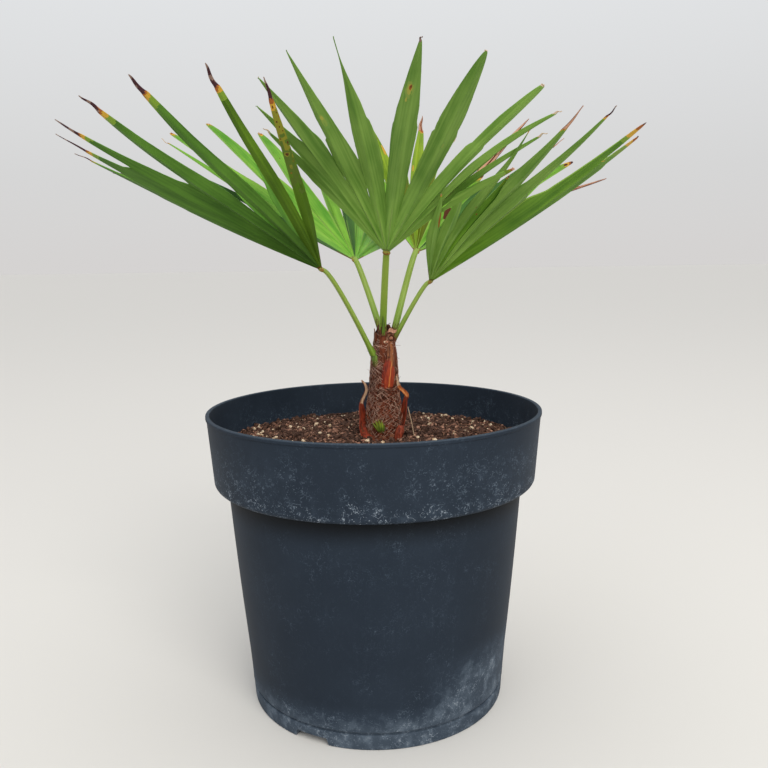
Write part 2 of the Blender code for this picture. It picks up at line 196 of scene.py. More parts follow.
def sheetPiece(name, sheets, thickness, materials, replaced=(), smoothAngle=55.0):
    # one or more sheets, each a tuple for gridSheet, given their thickness inwards
    bm = bmesh.new()
    for sheet in sheets:
        gridSheet(bm, *sheet)
    mesh = bpy.data.meshes.new(name)
    bm.to_mesh(mesh)
    bm.free()
    shadeMesh(mesh, smoothAngle)
    piece = addPiece(name, mesh, materials, replaced)
    wall = piece.modifiers.new("wall", "SOLIDIFY")
    wall.thickness = thickness
    wall.offset = -1.0
    return piece


# Pot

pot = {
    "height": 0.229,
    "rimRadius": 0.130,
    "lipHeight": 0.0030,
    "lipProud": 0.0008,
    "collarFootRadius": 0.1254,
    "collarFootHeight": 0.1735,
    "collarRound": 0.0045,
    "bodyTopRadius": 0.1151,
    "bodyFootRadius": 0.1016,
    "footRadius": 0.1005,
    "footHeight": 0.0120,
    "groove": 0.0014,
    "wall": 0.0022,
    "floorRise": 0.0065,
    "floorThickness": 0.0026,
    "padRadius": 0.0240,
    "ringWidth": 0.0070,
    "steps": 216,
    "notches": 3,
    "notchAzimuth": -118.5,
    "notchWidth": 0.0310,
    "notchHeight": 0.0058,
    "drains": 6,
    "drainAzimuth": 33.75,
    "drainCircle": 0.0560,
    "drainRadius": 0.0060,
}


def roundedCorner(radius, height, bend, start, turn, steps):
    # an arc of (radius, height) points round a corner's own centre
    points = []
    for k in range(steps + 1):
        angle = math.radians(start + turn * k / steps)
        points.append((radius + bend * math.cos(angle), height + bend * math.sin(angle)))
    return points


def potProfile():
    ringInside = pot["footRadius"] - pot["ringWidth"]
    rimWall = pot["rimRadius"] - pot["lipProud"]
    lipFoot = pot["height"] - pot["lipHeight"]
    floorTop = pot["floorRise"] + pot["floorThickness"]
    foot = pot["footRadius"]
    ringTop = pot["footHeight"]
    wall = pot["wall"]
    profile = [(0.0, 0.0), (pot["padRadius"], 0.0), (pot["padRadius"] + 0.001, pot["floorRise"])]
    profile += [(ringInside - 0.001, pot["floorRise"]), (ringInside, 0.0)]
    profile += roundedCorner(foot - 0.0012, 0.0012, 0.0012, -90.0, 90.0, 4)
    profile += roundedCorner(foot - 0.0006, ringTop - 0.0014, 0.0012, 0.0, 90.0, 4)
    profile += [(foot - pot["groove"] + 0.0004, ringTop), (foot - pot["groove"] + 0.0004, ringTop + 0.0008)]
    profile += roundedCorner(pot["bodyFootRadius"] - 0.0016, ringTop + 0.0028, 0.0016, -90.0, 90.0, 4)
    profile += [(pot["bodyFootRadius"] + 0.0004, 0.0220)]
    bodySteps = 8
    for k in range(1, bodySteps + 1):
        share = k / bodySteps
        radius = pot["bodyFootRadius"] + (pot["bodyTopRadius"] - pot["bodyFootRadius"]) * share
        profile.append((radius + 0.0006 * math.sin(math.pi * share), 0.022 + 0.1515 * share))
    bend = pot["collarRound"]
    profile += [(pot["bodyTopRadius"] + 0.0006, pot["collarFootHeight"])]
    profile += roundedCorner(pot["collarFootRadius"] - bend, pot["collarFootHeight"] + bend, bend,
                             -90.0, 90.0, 7)
    profile += [(rimWall, lipFoot - 0.0004), (rimWall + 0.0004, lipFoot - 0.0001)]
    profile += roundedCorner(pot["rimRadius"] - 0.0005, lipFoot + 0.0007, 0.0005, -90.0, 90.0, 3)
    profile += roundedCorner(pot["rimRadius"] - 0.0006, pot["height"] - 0.0006, 0.0006, 0.0, 90.0, 4)
    profile += roundedCorner(rimWall - wall + 0.0006, pot["height"] - 0.0006, 0.0006, 90.0, 90.0, 4)
    profile += [(pot["collarFootRadius"] - wall, pot["collarFootHeight"] + bend)]
    profile += [(pot["bodyTopRadius"] - wall, pot["collarFootHeight"] + wall)]
    profile += [(pot["bodyFootRadius"] + 0.0006 - wall, 0.0220)]
    profile += [(pot["bodyFootRadius"] - wall - 0.0010, floorTop), (0.0, floorTop)]
    return profile


def addNotchCutter(bm, azimuth):
    # a block with sloping ends that takes a slot out of the foot ring
    made = bmesh.ops.create_cube(bm, size=1.0)["verts"]
    ringMiddle = pot["footRadius"] - pot["ringWidth"] / 2
    for vert in made:
        top = vert.co.z > 0.0
        width = pot["notchWidth"] - (0.006 if top else 0.0)
        vert.co.x = ringMiddle + vert.co.x * 2.0 * pot["ringWidth"]
        vert.co.y *= width
        vert.co.z = pot["notchHeight"] if top else -0.004
    bmesh.ops.rotate(bm, verts=made, cent=(0.0, 0.0, 0.0),
                     matrix=Matrix.Rotation(math.radians(azimuth), 3, "Z"))


def addDrainCutter(bm, azimuth):
    made = bmesh.ops.create_cone(bm, cap_ends=True, segments=24, radius1=pot["drainRadius"],
                                 radius2=pot["drainRadius"], depth=0.03)["verts"]
    bmesh.ops.translate(bm, verts=made, vec=polar(pot["drainCircle"], azimuth, 0.005))


def mouldedPlastic():
    # injection-moulded polypropylene, dark slate, dulled by lime haze, curly scratches and specks
    material, tree, shader = startMaterial("mouldedPolypropylene", "1b2532", 0.55, 1.49)
    shader.inputs["Specular IOR Level"].default_value = 0.14
    place = addNode(tree, "ShaderNodeTexCoord").outputs["Object"]
    split = addNode(tree, "ShaderNodeSeparateXYZ", {"Vector": place})
    sideways = split.outputs["X"]
    height = split.outputs["Z"]

    def limits(value, low, high, smooth=True):
        given = {"Value": value, "From Min": low, "From Max": high}
        return addNode(tree, "ShaderNodeMapRange", given, clamp=True,
                       interpolation_type="SMOOTHSTEP" if smooth else "LINEAR").outputs["Result"]

    def together(kind, first, second):
        return addNode(tree, "ShaderNodeMath", {0: first, 1: second}, operation=kind,
                       use_clamp=True).outputs[0]

    def cloud(sizeMm, detail, stretch=(1.0, 1.0, 1.0), shift=0.0):
        moved = {"Vector": place, "Scale": stretch, "Location": (shift, 0.0, 0.0)}
        turned = addNode(tree, "ShaderNodeMapping", moved).outputs["Vector"]
        return addNode(tree, "ShaderNodeTexNoise",
                       {"Vector": turned, "Scale": 1.0 / (sizeMm * millimetre), "Detail": detail,
                        "Roughness": 0.6}).outputs["Fac"]

    def traces(sizeMm, width, shift):
        # thin curly lines along the contours of a cloud
        off = addNode(tree, "ShaderNodeMath", {0: cloud(sizeMm, 2.0, shift=shift), 1: 0.5},
                      operation="SUBTRACT").outputs[0]
        distance = addNode(tree, "ShaderNodeMath", {0: off}, operation="ABSOLUTE").outputs[0]
        return limits(distance, width, width * 0.25)

    # lime dries where water stood: the collar's lower part and sides, the foot, thin runs between
    flank = limits(addNode(tree, "ShaderNodeMath", {0: sideways}, operation="ABSOLUTE").outputs[0], 0.035, 0.095)
    collar = together("MULTIPLY", limits(height, 0.224, 0.196), limits(height, 0.168, 0.172))
    collarEdge = together("MULTIPLY", limits(height, 0.188, 0.177), limits(height, 0.168, 0.172))
    foot = limits(height, 0.036, 0.012)
    rightFoot = together("MULTIPLY", limits(height, 0.075, 0.030), limits(sideways, 0.025, 0.080))
    patchy = limits(cloud(30.0, 3.0, shift=0.7), 0.40, 0.66)
    clouds = limits(cloud(11.0, 4.0, shift=1.9), 0.42, 0.72)
    runs = limits(cloud(4.0, 3.0, (1.0, 1.0, 0.12), 0.4), 0.50, 0.80)
    curls = together("MULTIPLY", traces(5.4, 0.024, 0.3), limits(cloud(9.0, 2.0, shift=2.6), 0.50, 0.62))
    fineCurls = together("MULTIPLY", traces(2.6, 0.040, 1.1), limits(cloud(5.0, 2.0, shift=3.1), 0.52, 0.62))
    specks = limits(cloud(1.1, 1.0, shift=0.2), 0.66, 0.72)
    scratched = together("ADD", together("ADD", together("MULTIPLY", curls, 0.55),
                                         together("MULTIPLY", fineCurls, 0.5)),
                         together("MULTIPLY", specks, 0.55))
    where = together("ADD", together("ADD", together("MULTIPLY", together("ADD", patchy, flank), 0.5), collarEdge),
                     0.12)
    onCollar = together("MULTIPLY", together("MULTIPLY", collar, where),
                        together("ADD", scratched, together("MULTIPLY", clouds, 0.18)))
    onCollar = together("ADD", onCollar, together("MULTIPLY", together("MULTIPLY", collar, flank), 0.05))
    onBody = together("MULTIPLY", together("ADD", scratched, together("MULTIPLY", runs, 0.2)),
                      together("ADD", together("MULTIPLY", patchy, 0.34), 0.07))
    streaky = together("ADD", together("MULTIPLY", clouds, 0.45), 0.40)
    onFoot = together("MULTIPLY", together("ADD", foot, together("MULTIPLY", rightFoot, 1.5)),
                      together("ADD", streaky, together("MULTIPLY", scratched, 0.55)))
    onFoot = together("MULTIPLY", onFoot, 0.68)
    broad = together("MULTIPLY", limits(cloud(60.0, 2.0, shift=0.9), 0.35, 0.75), 0.06)
    # the part that faces the front is painted lighter than the flanks: painted light
    ahead = together("MULTIPLY", together("SUBTRACT", 1.0, flank), 0.04)
    broad = together("ADD", broad, ahead)
    limeAndPaintedLight = together("ADD", together("ADD", onCollar, onBody), together("ADD", onFoot, broad))
    # the lip carries a paler band, a painted highlight, and the corner under the collar is painted dark, painted
    # shade under the overhang
    limeAndPaintedLight = together("ADD", limeAndPaintedLight, together("MULTIPLY", limits(height, 0.2279, 0.2287), 0.26))
    limeColour = colourRamp(tree, limeAndPaintedLight, ((0.0, "1b242f"), (0.22, "2b3541"), (0.55, "4e5965"), (1.0, "8f97a0")))
    underCollarShadeBand = together("MULTIPLY", limits(height, 0.1500, 0.1725), limits(height, 0.1745, 0.1738, False))
    # in its colour mode the Mix node's sockets are told apart by number
    paintedCollarShade = addNode(tree, "ShaderNodeMix", {0: together("MULTIPLY", underCollarShadeBand, 0.9), 6: limeColour,
                                            7: hexColour("06080b")}, data_type="RGBA")
    tree.links.new(paintedCollarShade.outputs[2], shader.inputs["Base Color"])
    rough = addNode(tree, "ShaderNodeMapRange", {"Value": limeAndPaintedLight, "To Min": 0.60, "To Max": 0.90})
    tree.links.new(rough.outputs["Result"], shader.inputs["Roughness"])
    grain = addNode(tree, "ShaderNodeTexNoise",
                    {"Vector": place, "Scale": 1.0 / (1.4 * millimetre), "Detail": 3.0})
    bump = addNode(tree, "ShaderNodeBump",
                   {"Height": grain.outputs["Fac"], "Strength": 0.10, "Distance": 0.0004})
    tree.links.new(bump.outputs["Normal"], shader.inputs["Normal"])
    return material


def hiddenObject(name, bm):
    bmesh.ops.recalc_face_normals(bm, faces=bm.faces)
    mesh = bpy.data.meshes.new(name)
    bm.to_mesh(mesh)
    bm.free()
    made = bpy.data.objects.new(name, mesh)
    bpy.context.scene.collection.objects.link(made)
    return made


def makePot():
    blank = hiddenObject("potBlank", spunProfile(potProfile(), pot["steps"]))
    bm = bmesh.new()
    for k in range(pot["notches"]):
        addNotchCutter(bm, pot["notchAzimuth"] + 360.0 * k / pot["notches"])
    for k in range(pot["drains"]):
        addDrainCutter(bm, pot["drainAzimuth"] + 360.0 * k / pot["drains"])
    cutters = hiddenObject("potCutters", bm)
    cut = blank.modifiers.new("notchesAndDrains", "BOOLEAN")
    cut.operation = "DIFFERENCE"
    cut.object = cutters
    depsgraph = bpy.context.evaluated_depsgraph_get()
    finished = bpy.data.meshes.new_from_object(blank.evaluated_get(depsgraph))
    bpy.data.objects.remove(blank)
    bpy.data.objects.remove(cutters)
    finished.materials.clear()
    shadeMesh(finished, 32.0)
    addPiece("nurseryPot", finished, [mouldedPlastic()], ("pot",))
    print("pot:", len(finished.polygons), "faces")


# Compost

compost = {
    "centreHeight": 0.2070,
    "edgeHeight": 0.2000,
    "edgeRadius": 0.1246,
    "flatRadius": 0.034,
    # x, y, reach and change of height: settled in front of the bulb, heaped behind it
    "hollow": (0.006, -0.030, 0.030, -0.0042),
    "heap": (-0.030, 0.052, 0.036, 0.0020),
    "floor": 0.0100,
    "lumpMm": 11.0,
    "lumpHeight": 0.0018,
    "roughMm": 3.2,
    "roughHeight": 0.0007,
    "darkCrumbs": 6800,
    "brownCrumbs": 4200,
    "chips": 1500,
    "grit": 560,
    "fibres": 620,
}
trunkFoot = Vector((0.0074, 0.0, 0.2078))


def compostHeight(x, y):
    radius = math.hypot(x, y)
    share = smoothStep(compost["flatRadius"], compost["edgeRadius"], radius)
    fall = compost["centreHeight"] - compost["edgeHeight"]
    lumps = noise.fractal(Vector((x, y, 0.3)) / (compost["lumpMm"] * millimetre), 0.8, 2.1, 3)
    height = compost["centreHeight"] - fall * share + compost["lumpHeight"] * lumps
    for part in ("hollow", "heap"):
        middleX, middleY, reach, change = compost[part]
        height += change * math.exp(-((x - middleX) ** 2 + (y - middleY) ** 2) / reach ** 2)
    return height


def earthMaterial(name, dark, light, grainMm):
    # peat and composted bark, moist and rough: one noise sets both colour and bump, so its hollows are painted
    # darker, painted shade over the peat's own mottling
    material, tree, shader = startMaterial(name, dark, 0.92, 1.45)
    place = addNode(tree, "ShaderNodeTexCoord").outputs["Object"]
    cloud = addNode(tree, "ShaderNodeTexNoise",
                    {"Vector": place, "Scale": 1.0 / (grainMm * millimetre), "Detail": 5.0, "Roughness": 0.7})
    tree.links.new(colourRamp(tree, cloud.outputs["Fac"], ((0.36, dark), (0.66, light))),
                   shader.inputs["Base Color"])
    bump = addNode(tree, "ShaderNodeBump",
                   {"Height": cloud.outputs["Fac"], "Strength": 0.6, "Distance": 0.0008})
    tree.links.new(bump.outputs["Normal"], shader.inputs["Normal"])
    return material


def scatterSpots(rng, count, clearRadius=0.0135):
    # random places on the compost, outside the trunk's bulb
    spots = []
    reach = compost["edgeRadius"] - 0.001
    while len(spots) < count:
        x = rng.uniform(-reach, reach)
        y = rng.uniform(-reach, reach)
        if math.hypot(x, y) < reach and math.hypot(x - trunkFoot.x, y) > clearRadius:
            spots.append((x, y, compostHeight(x, y)))
    return np.array(spots)


def lumpMesh(name, rng, spots, sizes, flatten, jag, sunk=0.5):
    # uneven lumps on the compost: copies of one icosphere, each squashed, turned and jagged
    bm = bmesh.new()
    bmesh.ops.create_icosphere(bm, subdivisions=1, radius=1.0)
    bm.verts.index_update()
    ball = np.array([vert.co[:] for vert in bm.verts])
    sides = np.array([[vert.index for vert in face.verts] for face in bm.faces])
    bm.free()
    count = len(spots)
    size = sizes[0] + (sizes[1] - sizes[0]) * rng.random(count) ** 2.2
    stretch = np.stack([rng.uniform(0.7, 1.35, count), rng.uniform(0.7, 1.35, count),
                        rng.uniform(*flatten, count)], -1) * size[:, None] * millimetre / 2
    points = ball[None] * (1.0 + jag * (rng.random((count, len(ball), 1)) - 0.5)) * stretch[:, None]
    spin = rng.uniform(0.0, math.tau, count)
    tilt = rng.uniform(-0.8, 0.8, count)
    y = points[..., 1] * np.cos(tilt)[:, None] - points[..., 2] * np.sin(tilt)[:, None]
    z = points[..., 1] * np.sin(tilt)[:, None] + points[..., 2] * np.cos(tilt)[:, None]
    x = points[..., 0]
    turned = np.stack([x * np.cos(spin)[:, None] - y * np.sin(spin)[:, None],
                       x * np.sin(spin)[:, None] + y * np.cos(spin)[:, None], z], -1)
    lift = stretch[:, 2] * rng.uniform(0.0, sunk * 2.0, count)
    turned += (spots + np.stack([lift * 0, lift * 0, lift], -1))[:, None]
    faces = (sides[None] + (np.arange(count) * len(ball))[:, None, None]).reshape(-1, 3)
    mesh = bpy.data.meshes.new(name)
    mesh.from_pydata(turned.reshape(-1, 3).tolist(), [], faces.tolist())
    return mesh


def addLumps(name, seed, spots, sizes, flatten, jag, material, smoothAngle, sunk=0.5):
    mesh = lumpMesh(name, np.random.default_rng(seed), spots, sizes, flatten, jag, sunk)
    shadeMesh(mesh, smoothAngle)
    addPiece(name, mesh, [material])


def makeCompost():
    rng = random.Random(11)
    rings = 90
    edge = compost["edgeRadius"]
    profile = [(0.0, compost["floor"]), (0.0955, compost["floor"]), (0.0995, 0.024), (0.1122, 0.1765)]
    profile += [(0.1226, 0.1795)]
    profile += [(edge * (rings - k) / rings, compost["edgeHeight"]) for k in range(rings + 1)]
    bm = spunProfile(profile, 260)
    for vert in bm.verts:
        if vert.co.z > compost["edgeHeight"] - 0.0001:
            rough = noise.fractal(vert.co / (compost["roughMm"] * millimetre), 0.9, 2.0, 3)
            vert.co.z = compostHeight(vert.co.x, vert.co.y) + compost["roughHeight"] * rough
    bed = earthMaterial("moistPeatAndBark", "1e1410", "5f4538", 2.0)
    pieceFromBmesh("compostBed", bm, [bed], ("compost",), 60.0)

    dark = earthMaterial("darkPeatCrumb", "1a100c", "6a4e42", 2.4)
    brown = earthMaterial("brownBarkCrumb", "472b20", "bd8f79", 2.4)
    chip = earthMaterial("splitBarkChip", "6e4334", "b08a76", 2.0)
    # expanded perlite: chalky, off-white and stained by the peat
    perlite = earthMaterial("stainedPerlite", "b18c68", "f0dfc4", 2.4)
    addLumps("darkCrumbs", 3, scatterSpots(rng, compost["darkCrumbs"]), (1.2, 5.0), (0.6, 1.0), 0.6, dark, 25.0)
    addLumps("brownCrumbs", 4, scatterSpots(rng, compost["brownCrumbs"]), (1.0, 3.6), (0.5, 1.0), 0.6, brown, 25.0)
    addLumps("barkChips", 5, scatterSpots(rng, compost["chips"]), (1.0, 4.2), (0.22, 0.5), 0.7, chip, 20.0, 0.8)
    addLumps("perliteGrains", 6, scatterSpots(rng, compost["grit"]), (0.8, 4.6), (0.7, 1.0), 0.5, perlite, 40.0, 0.6)

    straw = plainMaterial("peatFibre", "8c6552", 0.85)
    rootlet = plainMaterial("darkRootlet", "3a251b", 0.85)
    strands = []
    for spot in scatterSpots(rng, compost["fibres"]):
        heading = polar(1.0, rng.uniform(0, 360))
        bend = heading.cross(up) * rng.uniform(-0.4, 0.4)
        length = rng.uniform(3.0, 11.0) * millimetre
        points = []
        for k in range(6):
            share = k / 5
            point = Vector(spot) + (heading * share + bend * share * share) * length
            point.z = compostHeight(point.x, point.y) + 0.0009 + 0.0018 * math.sin(math.pi * share)
            points.append(point)
        thickness = rng.uniform(0.10, 0.26) * millimetre
        if math.hypot(points[-1].x, points[-1].y) < edge - 0.002:
            strands.append((points, [thickness] * 6, rng.randrange(2)))
    strandPiece("peatFibres", strands, [straw, rootlet])
    print("compost: bed, crumbs, chips, perlite and fibres")


# Trunk

trunk = {
    "foot": 0.2020,
    "height": 0.0915,
    "lean": 0.0016,
    "radii": ((0.00, 0.0086), (0.02, 0.0108), (0.05, 0.0128), (0.115, 0.0140), (0.21, 0.0141), (0.315, 0.0129),
              (0.448, 0.0113), (0.60, 0.0105), (0.734, 0.0095), (0.82, 0.0082), (0.88, 0.0073),
              (0.955, 0.0064), (1.00, 0.0044)),
    "rings": 100,
    "steps": 100,
    "reliefMm": 3.0,
    "relief": 0.0008,
    "strands": 5200,
    "bareAzimuths": (-97.0, -27.0),
    "bareHeights": (0.2470, 0.2850),
}


def trunkAxis(height):
    share = (height - trunk["foot"]) / trunk["height"]
    return Vector((trunkFoot.x + trunk["lean"] * share, trunkFoot.y, height))


def trunkRadius(height):
    share = min(max((height - trunk["foot"]) / trunk["height"], 0.0), 1.0)
    radii = trunk["radii"]
    for (low, lowRadius), (high, highRadius) in zip(radii, radii[1:]):
        if share <= high:
            return lowRadius + (highRadius - lowRadius) * (share - low) / (high - low)
    return radii[-1][1]


def onTrunk(azimuth, height, proud=0.0):
    return trunkAxis(height) + polar(trunkRadius(height) + proud, azimuth)


def fibreMaterial(name, dark, light, sizeMm, roughness=0.9):
    # dry palm fibre and sheath: matt, finely streaked upwards
    material, tree, shader = startMaterial(name, dark, roughness, 1.45)
    place = addNode(tree, "ShaderNodeTexCoord").outputs["Object"]
    stretched = addNode(tree, "ShaderNodeMapping", {"Vector": place, "Scale": (1.0, 1.0, 0.22)})
    cloud = addNode(tree, "ShaderNodeTexNoise",
                    {"Vector": stretched.outputs["Vector"], "Scale": 1.0 / (sizeMm * millimetre),
                     "Detail": 4.0, "Roughness": 0.65})
    tree.links.new(colourRamp(tree, cloud.outputs["Fac"], ((0.36, dark), (0.64, light))),
                   shader.inputs["Base Color"])
    bump = addNode(tree, "ShaderNodeBump",
                   {"Height": cloud.outputs["Fac"], "Strength": 0.5, "Distance": 0.0004})
    tree.links.new(bump.outputs["Normal"], shader.inputs["Normal"])
    return material


def isBare(azimuth, height):
    low, high = trunk["bareAzimuths"]
    foot, top = trunk["bareHeights"]
    return low < azimuth < high and foot < height < top


def makeTrunkCore():
    profile = [(0.0, trunk["foot"])]
    for k in range(trunk["rings"] + 1):
        height = trunk["foot"] + trunk["height"] * k / trunk["rings"]
        profile.append((trunkRadius(height), height))
    profile.append((0.0, trunk["foot"] + trunk["height"]))
    bm = spunProfile(profile, trunk["steps"])
    for vert in bm.verts:
        radius = math.hypot(vert.co.x, vert.co.y)
        if radius > 0.001 and vert.co.z > trunk["foot"] + 0.0001:
            relief = noise.fractal(vert.co / (trunk["reliefMm"] * millimetre), 0.9, 2.0, 4) * trunk["relief"]
            vert.co *= Vector(((radius + relief) / radius, (radius + relief) / radius, 1.0))
        vert.co.x += trunkAxis(vert.co.z).x
    bark = fibreMaterial("mattedPalmFibre", "180b07", "643626", 1.2)
    pieceFromBmesh("trunkCore", bm, [bark], ("trunk",), 60.0)


def makeTrunkFibres():
    rng = random.Random(23)
    looks = [plainMaterial(name, code, 0.88) for name, code in (
        ("weatheredFibre", "cda792"), ("brownFibre", "704332"), ("rustFibre", "944428"),
        ("darkFibre", "24130d"), ("greyFibre", "846459"))]
    strands = []
    while len(strands) < trunk["strands"]:
        height = trunk["foot"] + rng.uniform(0.0, 0.90) * trunk["height"]
        azimuth = rng.uniform(-180.0, 180.0)
        slant = rng.choice((-1, 1)) * rng.uniform(0.35, 2.2)
        length = rng.uniform(3.0, 8.5) * millimetre
        rise = length / math.hypot(1.0, slant)
        swing = math.degrees(rise * slant / trunkRadius(height))
        covered = isBare(azimuth + swing / 2, height + rise / 2) or isBare(azimuth + swing, height + rise)
        if covered and rng.random() > 0.08:
            continue
        lift = rng.uniform(0.0001, 0.0009)
        points = []
        for j in range(5):
            share = j / 4
            bow = math.sin(math.pi * share)
            level = min(height + rise * share, 0.2915)
            points.append(onTrunk(azimuth + swing * share, level, lift * (0.2 + bow)))
        thick = rng.uniform(0.05, 0.115) * millimetre
        # rust red on the bulb, greyer and more weathered above it
        reddish = height < 0.232 or -110.0 < azimuth < 10.0 and height < 0.252
        weights = (6, 4, 6, 3, 2) if reddish else (6, 4, 2, 4, 4)
        strands.append((points, [thick * 0.6] + [thick] * 3 + [thick * 0.4],
                        rng.choices(range(5), weights)[0]))
    # loose ends that stand off the trunk
    for k in range(70):
        azimuth = rng.uniform(-180.0, 180.0)
        height = trunk["foot"] + rng.uniform(0.02, 0.92) * trunk["height"]
        start = onTrunk(azimuth, height, 0.0004)
        away = (polar(1.0, azimuth + rng.uniform(-50, 50)) + up * rng.uniform(-0.4, 1.5)).normalized()
        length = rng.uniform(2.0, 6.5) * millimetre
        points = [start + away * length * s / 4 + up * -0.0006 * (s / 4) ** 2 for s in range(5)]
        strands.append((points, [0.00012, 0.00012, 0.0001, 0.00008, 0.00005], rng.randrange(5)))
    # the seam where an old sheath ends, and a thin straw stalk at the right
    seam = [onTrunk(-172.0 + 94.0 * k / 14, 0.2778 - 0.0006 * math.sin(k), 0.0005) for k in range(15)]
    strands.append((seam, [0.00034] * 15, 0))
    stalk = [Vector(keyed(((26.5, -5.0, 229.5), (29.4, -6.0, 217.0), (31.8, -7.0, 203.0)), k / 10)) * millimetre
             for k in range(11)]
    strands.append((stalk, [0.00034] * 11, 5))
    looks.append(plainMaterial("bleachedStraw", "b59c80", 0.8))
    strandPiece("trunkFibres", strands, looks)
    print("trunk:", len(strands), "strands")


# Sheaths: rows of (azimuth, height, proud, half width) in degrees and mm, from the foot up

rustSheath = ((-74.0, 245.0, 0.5, 6.4), (-71.0, 252.0, 0.9, 6.7), (-66.0, 260.0, 1.1, 5.9),
              (-60.0, 267.0, 1.1, 4.7), (-56.0, 274.0, 1.2, 4.0), (-53.0, 280.5, 1.2, 3.6), (-51.0, 287.0, 1.1, 3.0))
footFlaps = (
    ((-100.0, 200.5, 0.9, 6.0), (-98.0, 204.0, 1.3, 5.4), (-95.0, 208.5, 0.7, 2.2)),
    ((-58.0, 200.5, 0.9, 5.5), (-60.0, 204.5, 1.4, 4.8), (-64.0, 210.0, 0.7, 1.6)),
    ((-150.0, 200.5, 0.9, 5.0), (-150.0, 205.5, 1.4, 4.4), (-146.0, 214.0, 0.7, 1.4)),
    ((70.0, 200.5, 0.9, 7.0), (74.0, 208.0, 1.4, 6.4), (80.0, 222.0, 0.8, 1.6)),
    ((140.0, 200.5, 0.9, 6.0), (138.0, 207.0, 1.4, 5.2), (134.0, 217.0, 0.8, 1.4)),
)


def trunkPatch(keys, sink=0.0012, jag=0.0, seed=0.0):
    # a sheath wrapped on the trunk, its sides sunk into the fibre and its foot torn
    def place(u, t):
        torn = jag * (noise.noise(Vector((u * 2.6, seed, 0.0))) + 0.6 * noise.noise(Vector((u * 7.0, seed, 3.0))))
        share = t + torn * (1.0 - smoothStep(0.0, 0.35, t))
        azimuth, height, proud, half = keyed(keys, share)
        height *= millimetre
        swing = math.degrees(u * half * millimetre / trunkRadius(height))
        ridge = 0.00018 * noise.noise(Vector((u * 5.0, share * 1.2, seed + 9.0)))
        return onTrunk(azimuth + swing, height, proud * millimetre - sink * abs(u) ** 4 + ridge)
    return place


def makeRustSheath():
    looks = [
        fibreMaterial("rustBrownSheath", "562d1b", "8a5434", 1.5, 0.6),
        fibreMaterial("orangeRedSheath", "7a230d", "9f3c19", 1.2, 0.45),
        fibreMaterial("paleOrangeStreak", "a8521f", "cf8444", 1.2, 0.45),
        fibreMaterial("sheathShadow", "2e140c", "5c301d", 1.5, 0.7),
        fibreMaterial("deepRedSheath", "4c1309", "85290f", 1.2, 0.55),
        fibreMaterial("warmSheathStreak", "74401f", "9c5f35", 1.2, 0.5),
    ]

    # in the upper part the middle is paler and the edges darker, and in the lower part a paler streak runs near the
    # middle and the left side is darker: painted highlights and painted shade, with some dark streaks at random
    def lookOf(u, t):
        ragged = 0.06 * noise.noise(Vector((u * 4.0, t * 6.0, 1.0)))
        streak = noise.noise(Vector((u * 6.0, t * 1.5, 7.0)))
        if t > 0.46 + 2.0 * ragged - 0.10 * u:
            if abs(u - 0.05) < 0.26 + ragged and t < 0.86:
                return 5
            return 3 if u < -0.68 or u > 0.86 or streak < -0.24 else 0
        if u > 0.72 + ragged:
            return 0
        if -0.02 + 0.2 * t < u + 0.6 * ragged < 0.14 + 0.1 * t:
            return 2
        return 4 if u < -0.45 + 3.0 * ragged or streak < -0.22 else 1

    sheets = [(trunkPatch(rustSheath, 0.0012, 0.06, 2.0), 40, 56, lookOf)]
    sheetPiece("rustSheath", sheets, 0.0005, looks)
    # fibres that lie over the sheath's torn foot and its upper part
    rng = random.Random(31)
    strands = []
    for k in range(80):
        high = k % 3 == 0
        height = rng.uniform(0.268, 0.280) if high else rng.uniform(0.2425, 0.2455)
        azimuth = rng.uniform(-92.0, -14.0)
        swing = rng.choice((-1, 1)) * rng.uniform(10.0, 34.0)
        rise = rng.uniform(0.0010, 0.0032)
        lift = rng.uniform(0.0010, 0.0016)
        points = [onTrunk(azimuth + swing * j / 6, height + rise * j / 6,
                          lift * (0.25 + math.sin(math.pi * j / 6))) for j in range(7)]
        strands.append((points, [0.00010] * 6 + [0.00005], rng.choice((0, 1, 1, 2, 3))))
    # dark ring around the cut stub at the sheath's head: painted shade round the stub's edge
    middle = onTrunk(-52.0, 0.2836, 0.0009)
    right, high = polar(1.0, 20.0), Vector((0.0, 0.0, 1.0))
    ring = [middle + (right * math.cos(math.tau * j / 14) + high * 0.9 * math.sin(math.tau * j / 14)) * 0.0022
            + polar(0.0010, -52.0) for j in range(15)]
    strands.append((ring, [0.00024] * 15, 3))
    shades = [bpy.data.materials[name] for name in ("weatheredFibre", "brownFibre", "rustFibre", "darkFibre")]
    strandPiece("overlyingFibres", strands, shades)

    flaps = []
    for k, keys in enumerate(footFlaps):
        flaps.append((trunkPatch(keys, 0.0012, 0.05, k * 4.0), 14, 14, lambda u, t, k=k: k % 2 if t < 0.75 else 2))
    shades = [fibreMaterial("rustFootSheath", "4a1b10", "86391f", 1.4, 0.75),
              fibreMaterial("darkFootSheath", "35150d", "6b2f1d", 1.4, 0.8),
              fibreMaterial("wornFootSheath", "573325", "8a5a42", 1.4, 0.85)]
    sheetPiece("footSheaths", flaps, 0.0005, shades)


# Dried sheaths beside the bulb, from the foot up: rows of (x, y, height, half width, wrap) in mm
# and the turn, in degrees, of the strip's width from the depth of the pot to the line across it

